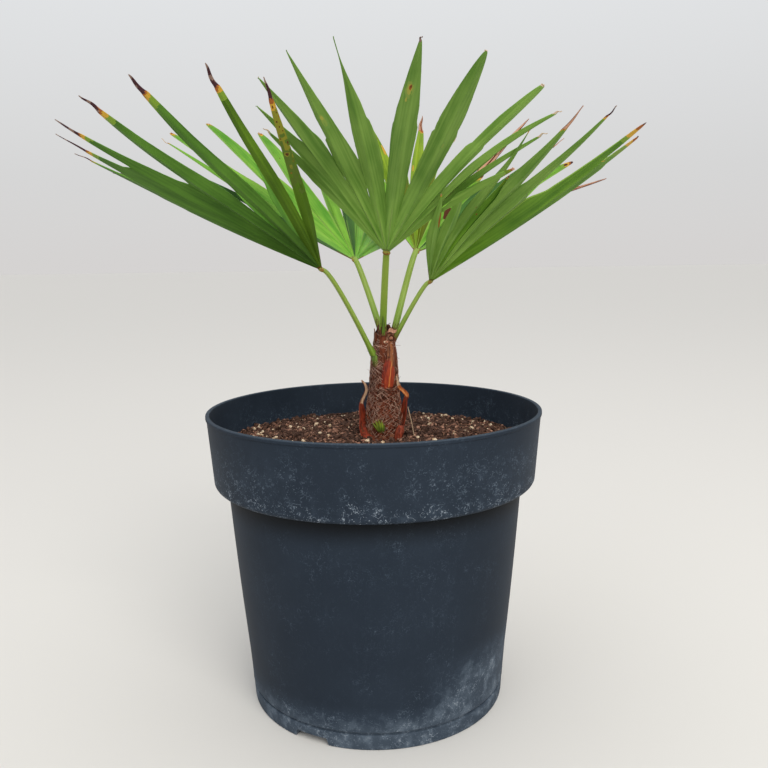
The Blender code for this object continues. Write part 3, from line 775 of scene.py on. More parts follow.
driedSheaths = {
    "Left": {
        "node": "dried_sheath_left", "side": -1.0, "redFrom": 0.16, "curlFrom": 0.60,
        "keys": ((7.4, -16.4, 200.4, 3.8, 1.0, 68.0), (1.4, -15.0, 202.8, 5.4, 1.5, 62.0),
                 (-6.0, -10.8, 207.0, 6.2, 2.2, 52.0), (-9.8, -5.6, 214.2, 5.4, 2.6, 42.0),
                 (-10.4, -2.2, 221.5, 4.2, 2.4, 32.0), (-10.6, -1.0, 227.5, 2.9, 1.5, 42.0),
                 (-10.0, -0.4, 232.2, 1.4, 0.6, 60.0), (-7.8, 0.0, 237.0, 1.15, 0.4, 75.0),
                 (-5.9, 0.0, 242.0, 1.1, 0.3, 78.0), (-6.7, 0.0, 246.8, 0.95, 0.3, 78.0),
                 (-9.2, 0.0, 250.4, 0.35, 0.1, 78.0)),
    },
    "Right": {
        "node": "dried_sheath_right", "side": 1.0, "redFrom": 0.10, "curlFrom": 0.62,
        "keys": ((12.6, -14.0, 201.2, 3.2, 1.0, -65.0), (17.6, -11.6, 204.2, 4.2, 1.5, -60.0),
                 (21.0, -7.6, 209.6, 4.6, 2.2, -48.0), (23.2, -4.8, 216.4, 3.9, 2.0, -38.0),
                 (24.3, -3.4, 223.5, 3.8, 1.4, -40.0), (24.9, -2.8, 229.5, 2.9, 0.9, -46.0),
                 (25.4, -2.8, 234.4, 1.9, 0.6, -60.0), (26.4, -3.2, 238.4, 1.7, 0.4, -78.0),
                 (24.0, -3.8, 241.8, 1.7, 0.3, -80.0), (20.8, -4.4, 244.9, 1.6, 0.3, -80.0),
                 (19.0, -4.8, 249.0, 1.1, 0.2, -80.0), (18.2, -5.0, 254.2, 0.5, 0.1, -80.0)),
    },
}


def driedStrip(sheath):
    side = sheath["side"]
    keys = sheath["keys"]

    def place(u, t):
        x, y, height, half, wrap, turn = keyed(keys, t)
        ahead = keyed(keys, min(t + 0.02, 1.0))
        behind = keyed(keys, max(t - 0.02, 0.0))
        run = Vector((ahead[0] - behind[0], 0.0, ahead[2] - behind[2])).normalized()
        square = Vector((run.z, 0.0, -run.x))
        turn = math.radians(turn)
        across = Vector((0.0, math.cos(turn), 0.0)) + square * math.sin(turn)
        torn = noise.noise(Vector((u * 3.0, t * 7.0, side)))
        spot = Vector((x, y, height)) + across * u * half * (1.0 + 0.12 * torn)
        spot += Vector((-side * wrap * u * u, 0.0, 0.25 * torn))
        return spot * millimetre
    return place


def makeDriedSheaths():
    looks = [
        fibreMaterial("rustRedSheath", "4e170a", "97391d", 1.6, 0.6),
        fibreMaterial("fibrousSheathFoot", "381a14", "75402c", 1.4, 0.8),
        fibreMaterial("strawSheathCurl", "9c775c", "d4b392", 1.4, 0.6),
        fibreMaterial("orangeSheathCurl", "9a421d", "cf7c46", 1.4, 0.45),
        fibreMaterial("curlEdge", "5c3020", "8c583c", 1.4, 0.7),
        fibreMaterial("brightCurlRidge", "c0703c", "eaa468", 1.4, 0.45),
    ]
    for name, sheath in driedSheaths.items():
        curl = 2 if sheath["side"] < 0 else 3

        def lookOf(u, t, sheath=sheath, curl=curl):
            ragged = 0.04 * noise.noise(Vector((u * 3.0, t * 9.0, sheath["side"])))
            if t < sheath["redFrom"] + ragged:
                return 1
            if t < sheath["curlFrom"] + ragged:
                return 0 if abs(u + ragged * 4) > 0.16 or t < 0.25 else 1
            if t > 0.86 and curl == 3:
                return 2
            # a band across the right curl is paler: painted highlight
            if curl == 3 and 0.1 < u + ragged * 4 < 0.7:
                return 5
            return 4 if abs(u) > 0.86 + ragged * 3 else curl

        sheets = [(driedStrip(sheath), 16, 76, lookOf)]
        sheetPiece("driedSheath" + name, sheets, 0.0006, looks, (sheath["node"],))
    print("trunk: dried sheaths")


def makeTrunkDetails():
    # green offset at the front of the bulb: short narrow blades fanned upwards from one point
    greens = [plainMaterial("offsetLight", "8a972c", 0.6), plainMaterial("offsetGreen", "586b1c", 0.6),
              plainMaterial("offsetShade", "4c4f1c", 0.7)]
    blades = []
    for k in range(13):
        lean = -1.0 + 2.0 * k / 12
        root = Vector((6.0 + 1.4 * lean, -13.7, 210.4))
        head = Vector((3.4 + 5.0 * lean, -14.6 - 0.5 * (k % 2), 221.6 - 2.6 * lean * lean - 0.9 * (k % 3)))

        def place(u, t, root=root, head=head, k=k):
            wide = (0.42 + 0.20 * math.sin(math.pi * t)) * (1.0 if t < 0.7 else 1.0 - 0.8 * (t - 0.7) / 0.3)
            middle = root.lerp(head, t) + Vector((0.0, -(0.7 + 0.4 * (k % 3)) * math.sin(math.pi * t), 0.0))
            return (middle + Vector((u * wide, 0.35 * abs(u), 0.0))) * millimetre
        shade = 2 if k in (0, 12) else (k * 2) % 3 % 2
        blades.append((place, 4, 8, lambda u, t, shade=shade: shade if t > 0.2 else 2))
    sheetPiece("greenOffset", blades, 0.0003, greens)

    # pointed spear of the next leaf, with dark edges, in front of the stalks
    def spear(u, t):
        half = 1.9 * (1.0 - t) ** 0.7 + 0.12
        x = 8.0 + 0.4 * math.sin(3.0 * t) + u * half
        return Vector((x, -9.4 - 6.4 * t - 1.2 * t * t + 1.0 * abs(u) ** 2, 285.4 + 15.6 * t)) * millimetre
    edge = plainMaterial("spearEdge", "3b2a1c", 0.7)
    spearGreen = plainMaterial("spearGreen", "5d7a2a", 0.45)
    spearFoot = fibreMaterial("spearFootBrown", "5a3526", "7d543b", 1.4)

    def spearLook(u, t):
        if t < 0.12 + 0.08 * math.sin(u * 9.0):
            return 2
        return 0 if abs(u) > 0.66 else 1
    sheetPiece("leafSpear", [(spear, 12, 20, spearLook)], 0.0005, [edge, spearGreen, spearFoot])

    # old sheaths that wrap the head, their tops torn into points among the stalks
    rng = random.Random(5)
    papers = []
    for k, azimuth in enumerate((-128.0, -96.0, -62.0, -18.0, 18.0, 62.0, 104.0, 150.0, 188.0)):
        top = 287.0 + 2.2 * math.sin(k * 2.3)
        foot = 262.0 + 3.0 * math.sin(k * 1.7)
        if k == 2:
            foot = 279.0
        if k in (0, 7, 8):
            top += 5.0

        def wrap(u, t, azimuth=azimuth, foot=foot, top=top, k=k):
            torn = 3.6 * noise.noise(Vector((u * 2.6, 0.0, k * 5.0))) + 1.6 * noise.noise(Vector((u * 8.0, 0.0, k)))
            height = (foot + (top - foot + torn) * t) * millimetre
            radius = max(trunkRadius(min(height, 0.2815)), 0.0072) + 0.0004 + 0.0007 * t
            if k in (0, 7, 8):
                radius -= 0.0004 + 0.0024 * t
            sunk = 0.0010 * abs(u) ** 4
            return trunkAxis(height) + polar(radius - sunk, azimuth + u * 26.0)
        papers.append((wrap, 24, 22, lambda u, t, k=k: (0, 2, 0, 2, 2, 0, 0, 2, 0)[k] if t < 0.9 else 0))
    for k in range(16):
        azimuth = -170.0 + 360.0 * k / 16 + rng.uniform(-8, 8)
        foot = rng.uniform(274.0, 280.0)
        tall = rng.uniform(8.0, 13.5)
        half = rng.uniform(1.3, 2.3)
        seed = k * 3.1

        def place(u, t, azimuth=azimuth, foot=foot, tall=tall, half=half, seed=seed):
            height = (foot + tall * t) * millimetre
            wide = half * (1.0 - 0.85 * t ** 1.6)
            ragged = noise.noise(Vector((u * 2.0, t * 3.0, seed)))
            base = onTrunk(azimuth, min(height, 0.2865), 0.0004 + 0.0009 * t)
            base.z = height + 0.0006 * ragged
            side = polar(1.0, azimuth + 90.0)
            return base + side * (u * wide + 0.5 * ragged) * millimetre - polar(0.0005 * u * u, azimuth)
        shade = 2 if k == 1 else (k * 7) % 3
        papers.append((place, 4, 10, lambda u, t, k=k, shade=shade: shade if t < 0.7 or k % 3 == 0 else 2))
    shades = [fibreMaterial("paperySheath", "5a3a2b", "85604a", 1.4),
              fibreMaterial("tanMembrane", "a88a6e", "cdb497", 1.6, 0.7),
              fibreMaterial("redBrownSheath", "4c2517", "773f2a", 1.4)]
    sheetPiece("sheathTips", papers, 0.0003, shades)

    # torn membrane and dark curl between the right stalks
    def membrane(u, t):
        x = 11.4 + 7.2 * t
        ragged = noise.noise(Vector((u * 2.0, t * 5.0, 4.0)))
        half = (1.7 + 0.7 * ragged) * math.sin(math.pi * (0.12 + 0.8 * t))
        return Vector((x, -7.8 + 2.6 * t, 288.2 + 2.0 * t + u * half + 1.2 * math.sin(6.0 * t))) * millimetre

    def curl(u, t):
        turn = 1.2 + 3.6 * t
        return Vector((13.6 + 1.7 * math.cos(turn), -6.0 + 0.6 * u, 293.4 + 1.9 * math.sin(turn))) * millimetre
    sheets = [(membrane, 8, 20, lambda u, t: 0), (curl, 3, 14, lambda u, t: 1)]
    pink = fibreMaterial("pinkTanMembrane", "96634c", "d3a68c", 1.6, 0.7)
    sheetPiece("tornMembrane", sheets, 0.0003, [pink, plainMaterial("darkCurl", "33201a", 0.8)])

    # cut stubs of old stalks: small pale knobs
    knobs = bmesh.new()
    for azimuth, height, size in ((-76.0, 0.2808, 1.3), (-27.0, 0.2546, 1.0), (-52.0, 0.2836, 2.0), (-118.0, 0.2340, 0.6),
                                  (150.0, 0.2620, 1.4), (60.0, 0.2490, 1.3), (100.0, 0.2740, 1.2)):
        made = bmesh.ops.create_icosphere(knobs, subdivisions=2, radius=size * millimetre)["verts"]
        bmesh.ops.scale(knobs, verts=made, vec=(1.0, 1.0, 0.75))
        bmesh.ops.translate(knobs, verts=made, vec=onTrunk(azimuth, height, 0.0007))
    for vert in knobs.verts:
        vert.co += Vector((1, 1, 1)) * 0.0002 * noise.noise(vert.co / 0.0012)
    stub = fibreMaterial("cutStalkStub", "86503a", "b98268", 1.0, 0.6)
    pieceFromBmesh("stalkStubs", knobs, [stub], smoothAngle=50.0)

    # the right sheath's foot, rolled up beside the bulb
    def rolled(u, t):
        turn = math.radians(-150.0 + 300.0 * t)
        torn = noise.noise(Vector((u * 2.0, t * 4.0, 6.0)))
        radius = (2.4 + 1.5 * t + 0.9 * torn) * (1.0 - 0.45 * u * u)
        return Vector((19.0 + 1.6 * u + radius * math.sin(turn), -9.8 - 0.8 * radius * math.cos(turn),
                       209.4 + 6.4 * u)) * millimetre
    rust = [fibreMaterial("rolledSheathRust", "4e180d", "9c452c", 1.2, 0.6),
            fibreMaterial("rolledSheathDark", "35150e", "6b3426", 1.4, 0.8)]
    sheetPiece("rolledSheathFoot", [(rolled, 14, 28, lambda u, t: 1 if t > 0.72 or u < -0.7 else 0)], 0.0005,
               rust)
    print("trunk: offset, spear, membranes and stubs")


def makeTrunk():
    makeTrunkCore()
    makeTrunkFibres()
    makeRustSheath()
    makeDriedSheaths()
    makeTrunkDetails()


# Leaves

leafShape = {
    "start": 0.0022,
    "thickness": 0.00042,
    "coarseStep": 0.0024,
    "fineStep": 0.0009,
    "foldAtBase": 42.0,
    "foldAtTip": 22.0,
    "columns": (0.0, 0.06, 0.32, 0.64, 0.92, 1.0),
    "bendWidth": 0.35,
    "marginWave": 0.035,
    "marginTooth": 0.022,
    "endWiggle": 0.0008,
    "endNarrowing": {"purple": 0.25, "tan": 0.15, "pale": 0.30},
    "highlightedEdgeTones": ("bright", "sunny", "fresh"),
}

# tones of living tissue: dark and light on the upper side, then on the lower side, roughness, and
# the factor on the colour near the hastula: painted shade of the deep folds below 1, painted light above 1
# Leaves and fingers take lighter and darker copies of one green, partly painted light and shade: deep and shade are
# painted shade.
leafTones = {
    "deep": ("3a6716", "5e8e29", "375c17", "4f7825", 0.42, 0.62),
    "mid": ("4e7921", "7aa33b", "54792b", "749542", 0.42, 1.62),
    "soft": ("558425", "85b140", "5c842f", "7ea248", 0.42, 1.1),
    "fresh": ("4b791b", "76a734", "466f18", "628b26", 0.42, 1.2),
    "bright": ("49841f", "79a83a", "497521", "698d31", 0.42, 1.22),
    "sunny": ("495c06", "6c7511", "445507", "606911", 0.45, 0.85),
    "limy": ("5b7a10", "88a022", "587510", "7e9a24", 0.45, 0.95),
    "olive": ("3f5e0e", "5c811b", "3e5c0d", "577817", 0.5, 0.8),
    "shade": ("294d16", "406c25", "2c4e1c", "426c2a", 0.42, 1.0),
}

# A finger runs from the leaf's right side to its left: its angle at the hastula and at its tip,
# length, width, share where it is widest, split from the next finger as a share, power of its
# taper, share where it bends, lengths of its dry, yellow and lime ends, the dry end's look and
# the finger's own tone if it differs from the leaf's. A shoulder over 1 keeps it wide for longer.
Finger = namedtuple("Finger", "base tip length width peak split power bendAt dry yellow lime dryLook tone shoulder",
                    defaults=(None, 1.0))

leaves = {
    "LeftFront": {
        "node": "left_front", "ribs": (0.0, 0.22, 2), "tone": "deep",
        "apex": (-0.0362, -0.0260, 0.3365), "azimuth": -161.0, "rise": 27.4, "roll": 4.3,
        "cups": (1.0, 0.68), "bow": -0.04,
        "root": (0.0098, 205.0, 0.0628), "lift": 0.20,
        "foot": (0.2580, 0.2620), "greenFoot": 14.0,
        "fingers": (
            Finger(-50.0, -50.4, 122, 9.5, 0.60, 0.30, 0.8, 0.5, 9, 2, 3, "purple"),
            Finger(-38.5, -38.5, 132, 9.5, 0.60, 0.26, 0.8, 0.5, 12, 2, 3, "purple"),
            Finger(-28.8, -28.8, 150, 10.5, 0.58, 0.34, 0.8, 0.5, 12, 2, 3, "purple"),
            Finger(-16.0, -17.0, 172, 13.0, 0.58, 0.56, 0.8, 0.5, 10, 2, 3, "purple"),
            Finger(-6.0, -8.5, 190, 13.0, 0.55, 0.62, 1.0, 0.6, 13, 2, 4, "purple"),
            Finger(3.0, -1.0, 199, 12.5, 0.55, 0.74, 1.2, 0.6, 22, 4, 4, "purple"),
            Finger(11.8, 5.4, 200, 14.5, 0.62, 0.57, 0.7, 0.68, 16, 4.5, 4, "purple"),
            Finger(22.0, 18.1, 199, 13.6, 0.52, 0.23, 0.66, 0.48, 14, 5.0, 6, "purple"),
            Finger(32.0, 28.8, 192, 9.8, 0.50, 0.18, 0.48, 0.45, 13, 5.0, 6, "purple"),
            Finger(42.8, 40.9, 178, 7.0, 0.50, 0.28, 0.45, 0.5, 15, 4, 5, "purple", "olive"),
            Finger(50.4, 49.6, 159, 6.8, 0.45, 0.30, 0.60, 0.5, 15, 6, 64, "purple", "olive"),
        ),
        "bent": {3: (0.45, 13.0, 0.0), 4: (0.50, 7.5, 0.0), 5: (0.55, 2.6, 0.0)},
        "oldEnd": (10,),
        "spots": (
            (10, 105.5, -0.2, 3.8, 3.0, "dry", "oldYellow"), (10, 122, 0.55, 1.8, 0.9, "dry", "oldYellow"),
            (10, 129, -0.35, 1.4, 0.8, "dry", "dry"), (10, 135, 0.45, 2.2, 0.8, "dry", "oldYellow"),
            (10, 113, 0.75, 1.6, 0.9, "dry", "dry"), (10, 99, 0.6, 1.4, 0.9, "dry", "oldYellow"),
            (10, 117, -0.65, 1.0, 0.7, "dry", "dry"), (10, 125.5, 0.0, 1.0, 0.7, "dry", "dry"),
            (10, 139, -0.3, 2.2, 0.7, "dry", "dry"), (10, 91, -0.5, 1.2, 0.8, "ochre", "ochre"),
            (10, 132, 0.8, 3.0, 0.6, "ochre", "oldYellow"), (10, 110, 0.3, 5.0, 1.2, "oldYellow", "oldYellow"),
            (10, 96, -0.2, 4.0, 1.4, "oldYellow", "oldYellow"), (6, 108, -0.9, 2.4, 1.0, "dry", "ochre"),
            (0, 96, 0.1, 2.4, 1.4, "dry", "ochre"),
        ),
    },
    "RightFront": {
        "node": "right_front", "ribs": (0.16, 0.26, 2), "tone": "fresh",
        "apex": (0.0440, -0.0080, 0.3260), "azimuth": -16.0, "rise": 33.3, "roll": 4.1,
        "cups": (0.51, 0.6), "bow": -0.02,
        "root": (0.0050, -12.0, 0.0680), "lift": 0.10,
        "foot": (0.2830, 0.2890),
        "fingers": (
            Finger(-61.0, -57.5, 101, 7.6, 0.50, 0.50, 0.8, 0.6, 0.5, 1.5, 2, "tan", "soft"),
            Finger(-53.0, -50.6, 99, 8.6, 0.66, 0.42, 0.45, 0.6, 0.5, 0, 0, "pale", "soft"),
            Finger(-46.6, -40.8, 164, 8.8, 0.56, 0.56, 1.2, 0.55, 0.5, 3, 3, "purple", "mid"),
            Finger(-42.8, -38.3, 125, 8.5, 0.58, 0.62, 0.8, 0.55, 2, 2, 8, "tan", "fresh"),
            Finger(-38.0, -33.6, 184, 12.0, 0.66, 0.60, 1.15, 0.55, 18, 1.5, 1, "tan", "mid"),
            Finger(-31.0, -26.2, 189, 11.5, 0.58, 0.53, 0.85, 0.55, 8, 3, 1, "purple", "mid"),
            Finger(-14.5, -10.4, 186, 17.0, 0.62, 0.80, 0.48, 0.55, 2, 11, 4, "purple"),
            Finger(0.5, 1.5, 179, 14.5, 0.62, 0.60, 0.46, 0.5, 0.5, 10, 10, "purple"),
            Finger(8.5, 8.0, 160, 13.0, 0.60, 0.60, 0.8, 0.5, 6, 3, 3, "purple"),
            Finger(16.5, 15.5, 148, 12.5, 0.60, 0.58, 0.8, 0.5, 6, 3, 3, "tan"),
            Finger(28.5, 29.5, 136, 11.0, 0.60, 0.50, 0.8, 0.5, 6, 3, 3, "purple"),
            Finger(39.5, 39.5, 126, 10.0, 0.60, 0.40, 0.8, 0.5, 6, 3, 3, "tan"),
        ),
        "bent": {2: (0.2, 0.0, -14.0), 3: (0.2, 0.0, -12.0)},
        "spots": (
            (6, 147, 0.8, 7.0, 3.0, "ochre", "yellow"), (6, 150, 0.95, 3.6, 1.4, "dry", "ochre"),
            (7, 150, -0.85, 4.0, 1.8, "yellow", "blotch"), (2, 92, 0.1, 1.6, 0.9, "dry", "ochre"),
            (0, 74, 0.86, 16.0, 1.2, "ochre", "ochre"), (5, 120, 0.3, 1.5, 0.8, "ochre", "ochre"),
            (3, 84, -0.5, 1.6, 0.8, "dry", "ochre"),
        ),
    },
    "LeftBack": {
        "node": "left_back", "ribs": (0.34, 0.42, 0), "tone": "bright",
        "apex": (-0.0130, 0.0200, 0.3430), "azimuth": 127.0, "rise": 42.0, "roll": -2.0,
        "cups": (-0.3, 0.10), "bow": 0.02,
        "root": (0.0047, 92.0, 0.0720), "lift": 0.24,
        "foot": (0.2890, 0.2965),
        "fingers": (
            Finger(-54.0, -55.0, 135, 12.0, 0.62, 0.42, 0.7, 0.5, 2, 3, 3, "pale"),
            Finger(-43.5, -44.0, 150, 13.0, 0.62, 0.42, 0.7, 0.5, 2, 3, 3, "pale"),
            Finger(-32.5, -33.0, 162, 13.5, 0.62, 0.42, 0.7, 0.5, 3, 3, 3, "tan"),
            Finger(-21.0, -22.0, 168, 11.5, 0.50, 0.30, 0.7, 0.5, 3, 3, 3, "pale", "shade"),
            Finger(-9.5, -11.5, 168, 13.0, 0.62, 0.32, 0.7, 0.5, 3, 4, 3, "tan", "fresh"),
            Finger(6.5, 4.4, 170, 13.2, 0.80, 0.45, 0.45, 0.5, 1, 3, 1, "pale"),
            Finger(21.8, 18.6, 187, 14.4, 0.74, 0.42, 0.42, 0.6, 0.6, 3, 1, "pale"),
            Finger(36.0, 33.3, 184, 12.0, 0.74, 0.60, 0.42, 0.6, 0.6, 3, 1, "pale"),
            Finger(42.6, 38.2, 181, 8.4, 0.50, 0.42, 0.9, 0.7, 6, 2, 1, "pale", "bright"),
            Finger(50.0, 48.0, 150, 10.0, 0.60, 0.42, 0.8, 0.5, 6, 4, 4, "tan", "shade"),
        ),
        "bent": {},
        "spots": ((5, 140, 0.2, 1.0, 0.8, "dry", "dry"), (5, 132, -0.2, 1.0, 0.8, "dry", "dry"),
                  (2, 96, 0.0, 3.0, 1.6, "ochre", "yellow")),
    },
    "Front": {
        "node": "front", "ribs": (0.26, 0.34, 1), "tone": "mid",
        "apex": (0.0113, -0.0400, 0.3480), "azimuth": -85.2, "rise": 38.6, "roll": -11.3,
        "cups": (0.36, 0.36), "bow": 0.01,
        "root": (0.0044, -108.0, 0.0730), "lift": 0.30,
        "foot": (0.2905, 0.2925),
        "flare": (0.85, 0.6),
        "fingers": (
            Finger(-52.0, -53.6, 120, 12.5, 0.55, 0.60, 0.8, 0.6, 6, 0, 0, "pale"),
            Finger(-43.8, -46.8, 134, 13.0, 0.58, 0.69, 0.9, 0.75, 1, 0, 0, "pale"),
            Finger(-35.4, -37.0, 151, 18.0, 0.66, 0.37, 0.9, 0.8, 0.5, 0, 0, "pale"),
            Finger(-23.4, -24.3, 166, 19.5, 0.50, 0.29, 1.05, 0.7, 1, 0, 0, "purple"),
            Finger(-10.8, -13.2, 174, 16.0, 0.50, 0.31, 3.1, 0.7, 0.5, 0, 0, "purple", None, 2.4),
            Finger(1.5, 2.4, 180, 15.0, 0.66, 0.31, 0.85, 0.7, 3, 0, 0, "purple"),
            Finger(14.5, 13.8, 179, 15.6, 0.68, 0.38, 0.62, 0.6, 0.5, 0, 0, "pale"),
            Finger(25.0, 28.6, 169, 11.5, 0.66, 0.39, 0.40, 0.80, 0.5, 0, 0, "pale", "soft"),
            Finger(31.6, 37.2, 162, 8.6, 0.60, 0.45, 0.55, 0.84, 5, 0, 0, "pale", "soft"),
            Finger(36.4, 42.0, 142, 7.4, 0.60, 0.46, 0.6, 0.84, 5, 0, 1, "pale", "soft"),
            Finger(39.4, 40.6, 112, 11.0, 0.66, 0.42, 0.5, 0.60, 1, 2, 3, "tan", "soft"),
        ),
        "bent": {10: (0.30, 8.0, 26.0), 8: (0.75, 3.0, 0.0)},
        "notches": ((3, 101, 0, 2.2, 16.0), (4, 118, 1, 0.9, 14.0), (5, 118, 1, 1.0, 14.0), (5, 117, 0, 0.6, 12.0),
                    (6, 116, 0, 0.9, 14.0), (6, 117, 1, 1.1, 14.0), (7, 112, 0, 1.4, 26.0), (7, 112, 1, 1.4, 26.0),
                    (8, 108, 1, 0.9, 20.0), (2, 104, 1, 0.8, 14.0)),
        "spots": (
            (5, 145, -0.25, 13.0, 4.4, "blotch", "blotchEdge"), (5, 146, -0.2, 5.6, 2.3, "ochre", "blotch"),
            (5, 147, -0.15, 3.6, 1.1, "dry", "ochre"), (5, 137, -0.4, 3.0, 1.2, "blotch", "blotch"),
            (3, 116, 0.25, 11.0, 4.4, "blotchEdge", "faded"), (3, 119, 0.2, 5.0, 2.2, "blotch", "blotchEdge"),
            (1, 86, -0.3, 4.6, 1.1, "purple", "dry"), (2, 98, -0.95, 5.0, 1.0, "dry", "ochre"),
            (10, 106, 0.0, 3.4, 2.0, "purple", "ochre"), (6, 109, 0.1, 7.0, 2.6, "blotchEdge", "faded"),
            (2, 60, -0.9, 2.0, 0.8, "purple", "dry"), (8, 70, 0.8, 8.0, 1.0, "purple", "ochre"),
        ),
    },
    "RightBack": {
        "node": "right_back", "ribs": (0.34, 0.40, 0), "tone": "sunny",
        "apex": (0.0350, 0.0230, 0.3490), "azimuth": 58.2, "rise": 39.6, "roll": 15.5,
        "cups": (0.05, 0.35), "bow": 0.02,
        "root": (0.0072, 32.0, 0.0730), "lift": 0.08,
        "foot": (0.2865, 0.2925),
        "fingers": (
            Finger(-45.0, -43.4, 174, 6.4, 0.45, 0.45, 0.55, 0.6, 78, 3, 3, "tan", "fresh"),
            Finger(-33.5, -31.4, 168, 11.0, 0.70, 0.48, 0.45, 0.6, 3, 6, 4, "purple", "fresh"),
            Finger(-22.0, -21.8, 191, 6.8, 0.55, 0.40, 1.1, 0.5, 24, 4, 4, "tan", "shade"),
            Finger(-9.0, -8.6, 206, 9.5, 0.50, 0.42, 0.7, 0.5, 100, 5, 5, "tan", "fresh"),
            Finger(14.0, 6.5, 156, 8.0, 0.50, 0.42, 1.1, 0.85, 11, 2, 2, "pale"),
            Finger(22.5, 20.2, 181, 10.0, 0.60, 0.42, 0.75, 0.6, 25, 2, 2, "tan", "limy"),
            Finger(31.0, 28.5, 156, 9.0, 0.60, 0.45, 0.8, 0.6, 4, 3, 3, "tan"),
            Finger(39.0, 37.6, 153, 13.0, 0.66, 0.45, 0.8, 0.6, 1, 2, 3, "tan", "limy"),
            Finger(47.0, 46.0, 124, 10.0, 0.60, 0.42, 0.8, 0.5, 5, 4, 4, "tan", "fresh"),
            Finger(56.0, 55.0, 150, 11.0, 0.60, 0.42, 0.8, 0.5, 6, 4, 4, "pale", "fresh"),
        ),
        "bent": {},
        "spots": (
            (3, 54, 0.1, 16.0, 5.0, "dry", "dry"), (3, 49, -0.6, 9.0, 4.0, "purple", "dry"),
            (3, 60, 0.7, 8.0, 1.2, "ochre", "ochre"),
            (7, 136, -0.5, 2.0, 1.0, "dry", "ochre"), (7, 120, -0.8, 14.0, 1.6, "yellow", "yellow"),
            (1, 160, 0.3, 4.0, 1.6, "purple", "dry"), (5, 100, 0.7, 9.0, 1.4, "yellow", "yellow"),
        ),
    },
}


def leafAxes(leaf):
    azimuth = math.radians(leaf["azimuth"])
    rise = math.radians(leaf["rise"])
    roll = math.radians(leaf["roll"])
    along = Vector((math.cos(azimuth) * math.cos(rise), math.sin(azimuth) * math.cos(rise), math.sin(rise)))
    level = Vector((-math.sin(azimuth), math.cos(azimuth), 0.0))
    upright = along.cross(level)
    across = level * math.cos(roll) + upright * math.sin(roll)
    upper = upright * math.cos(roll) - level * math.sin(roll)
    return along, across, upper


def leafRay(axes, cups, angle):
    # the direction in which the leaf reaches at an angle, with its sides cupped upwards
    along, across, upper = axes
    curl = (cups[0] if angle < 0.0 else cups[1]) * abs(angle)
    side = math.sin(angle)
    return along * math.cos(angle) + across * side * math.cos(curl) + upper * abs(side) * math.sin(curl)


def leafNormal(axes, cups, angle):
    step = 0.002
    forward = leafRay(axes, cups, angle + step) - leafRay(axes, cups, angle - step)
    return leafRay(axes, cups, angle).cross(forward).normalized()


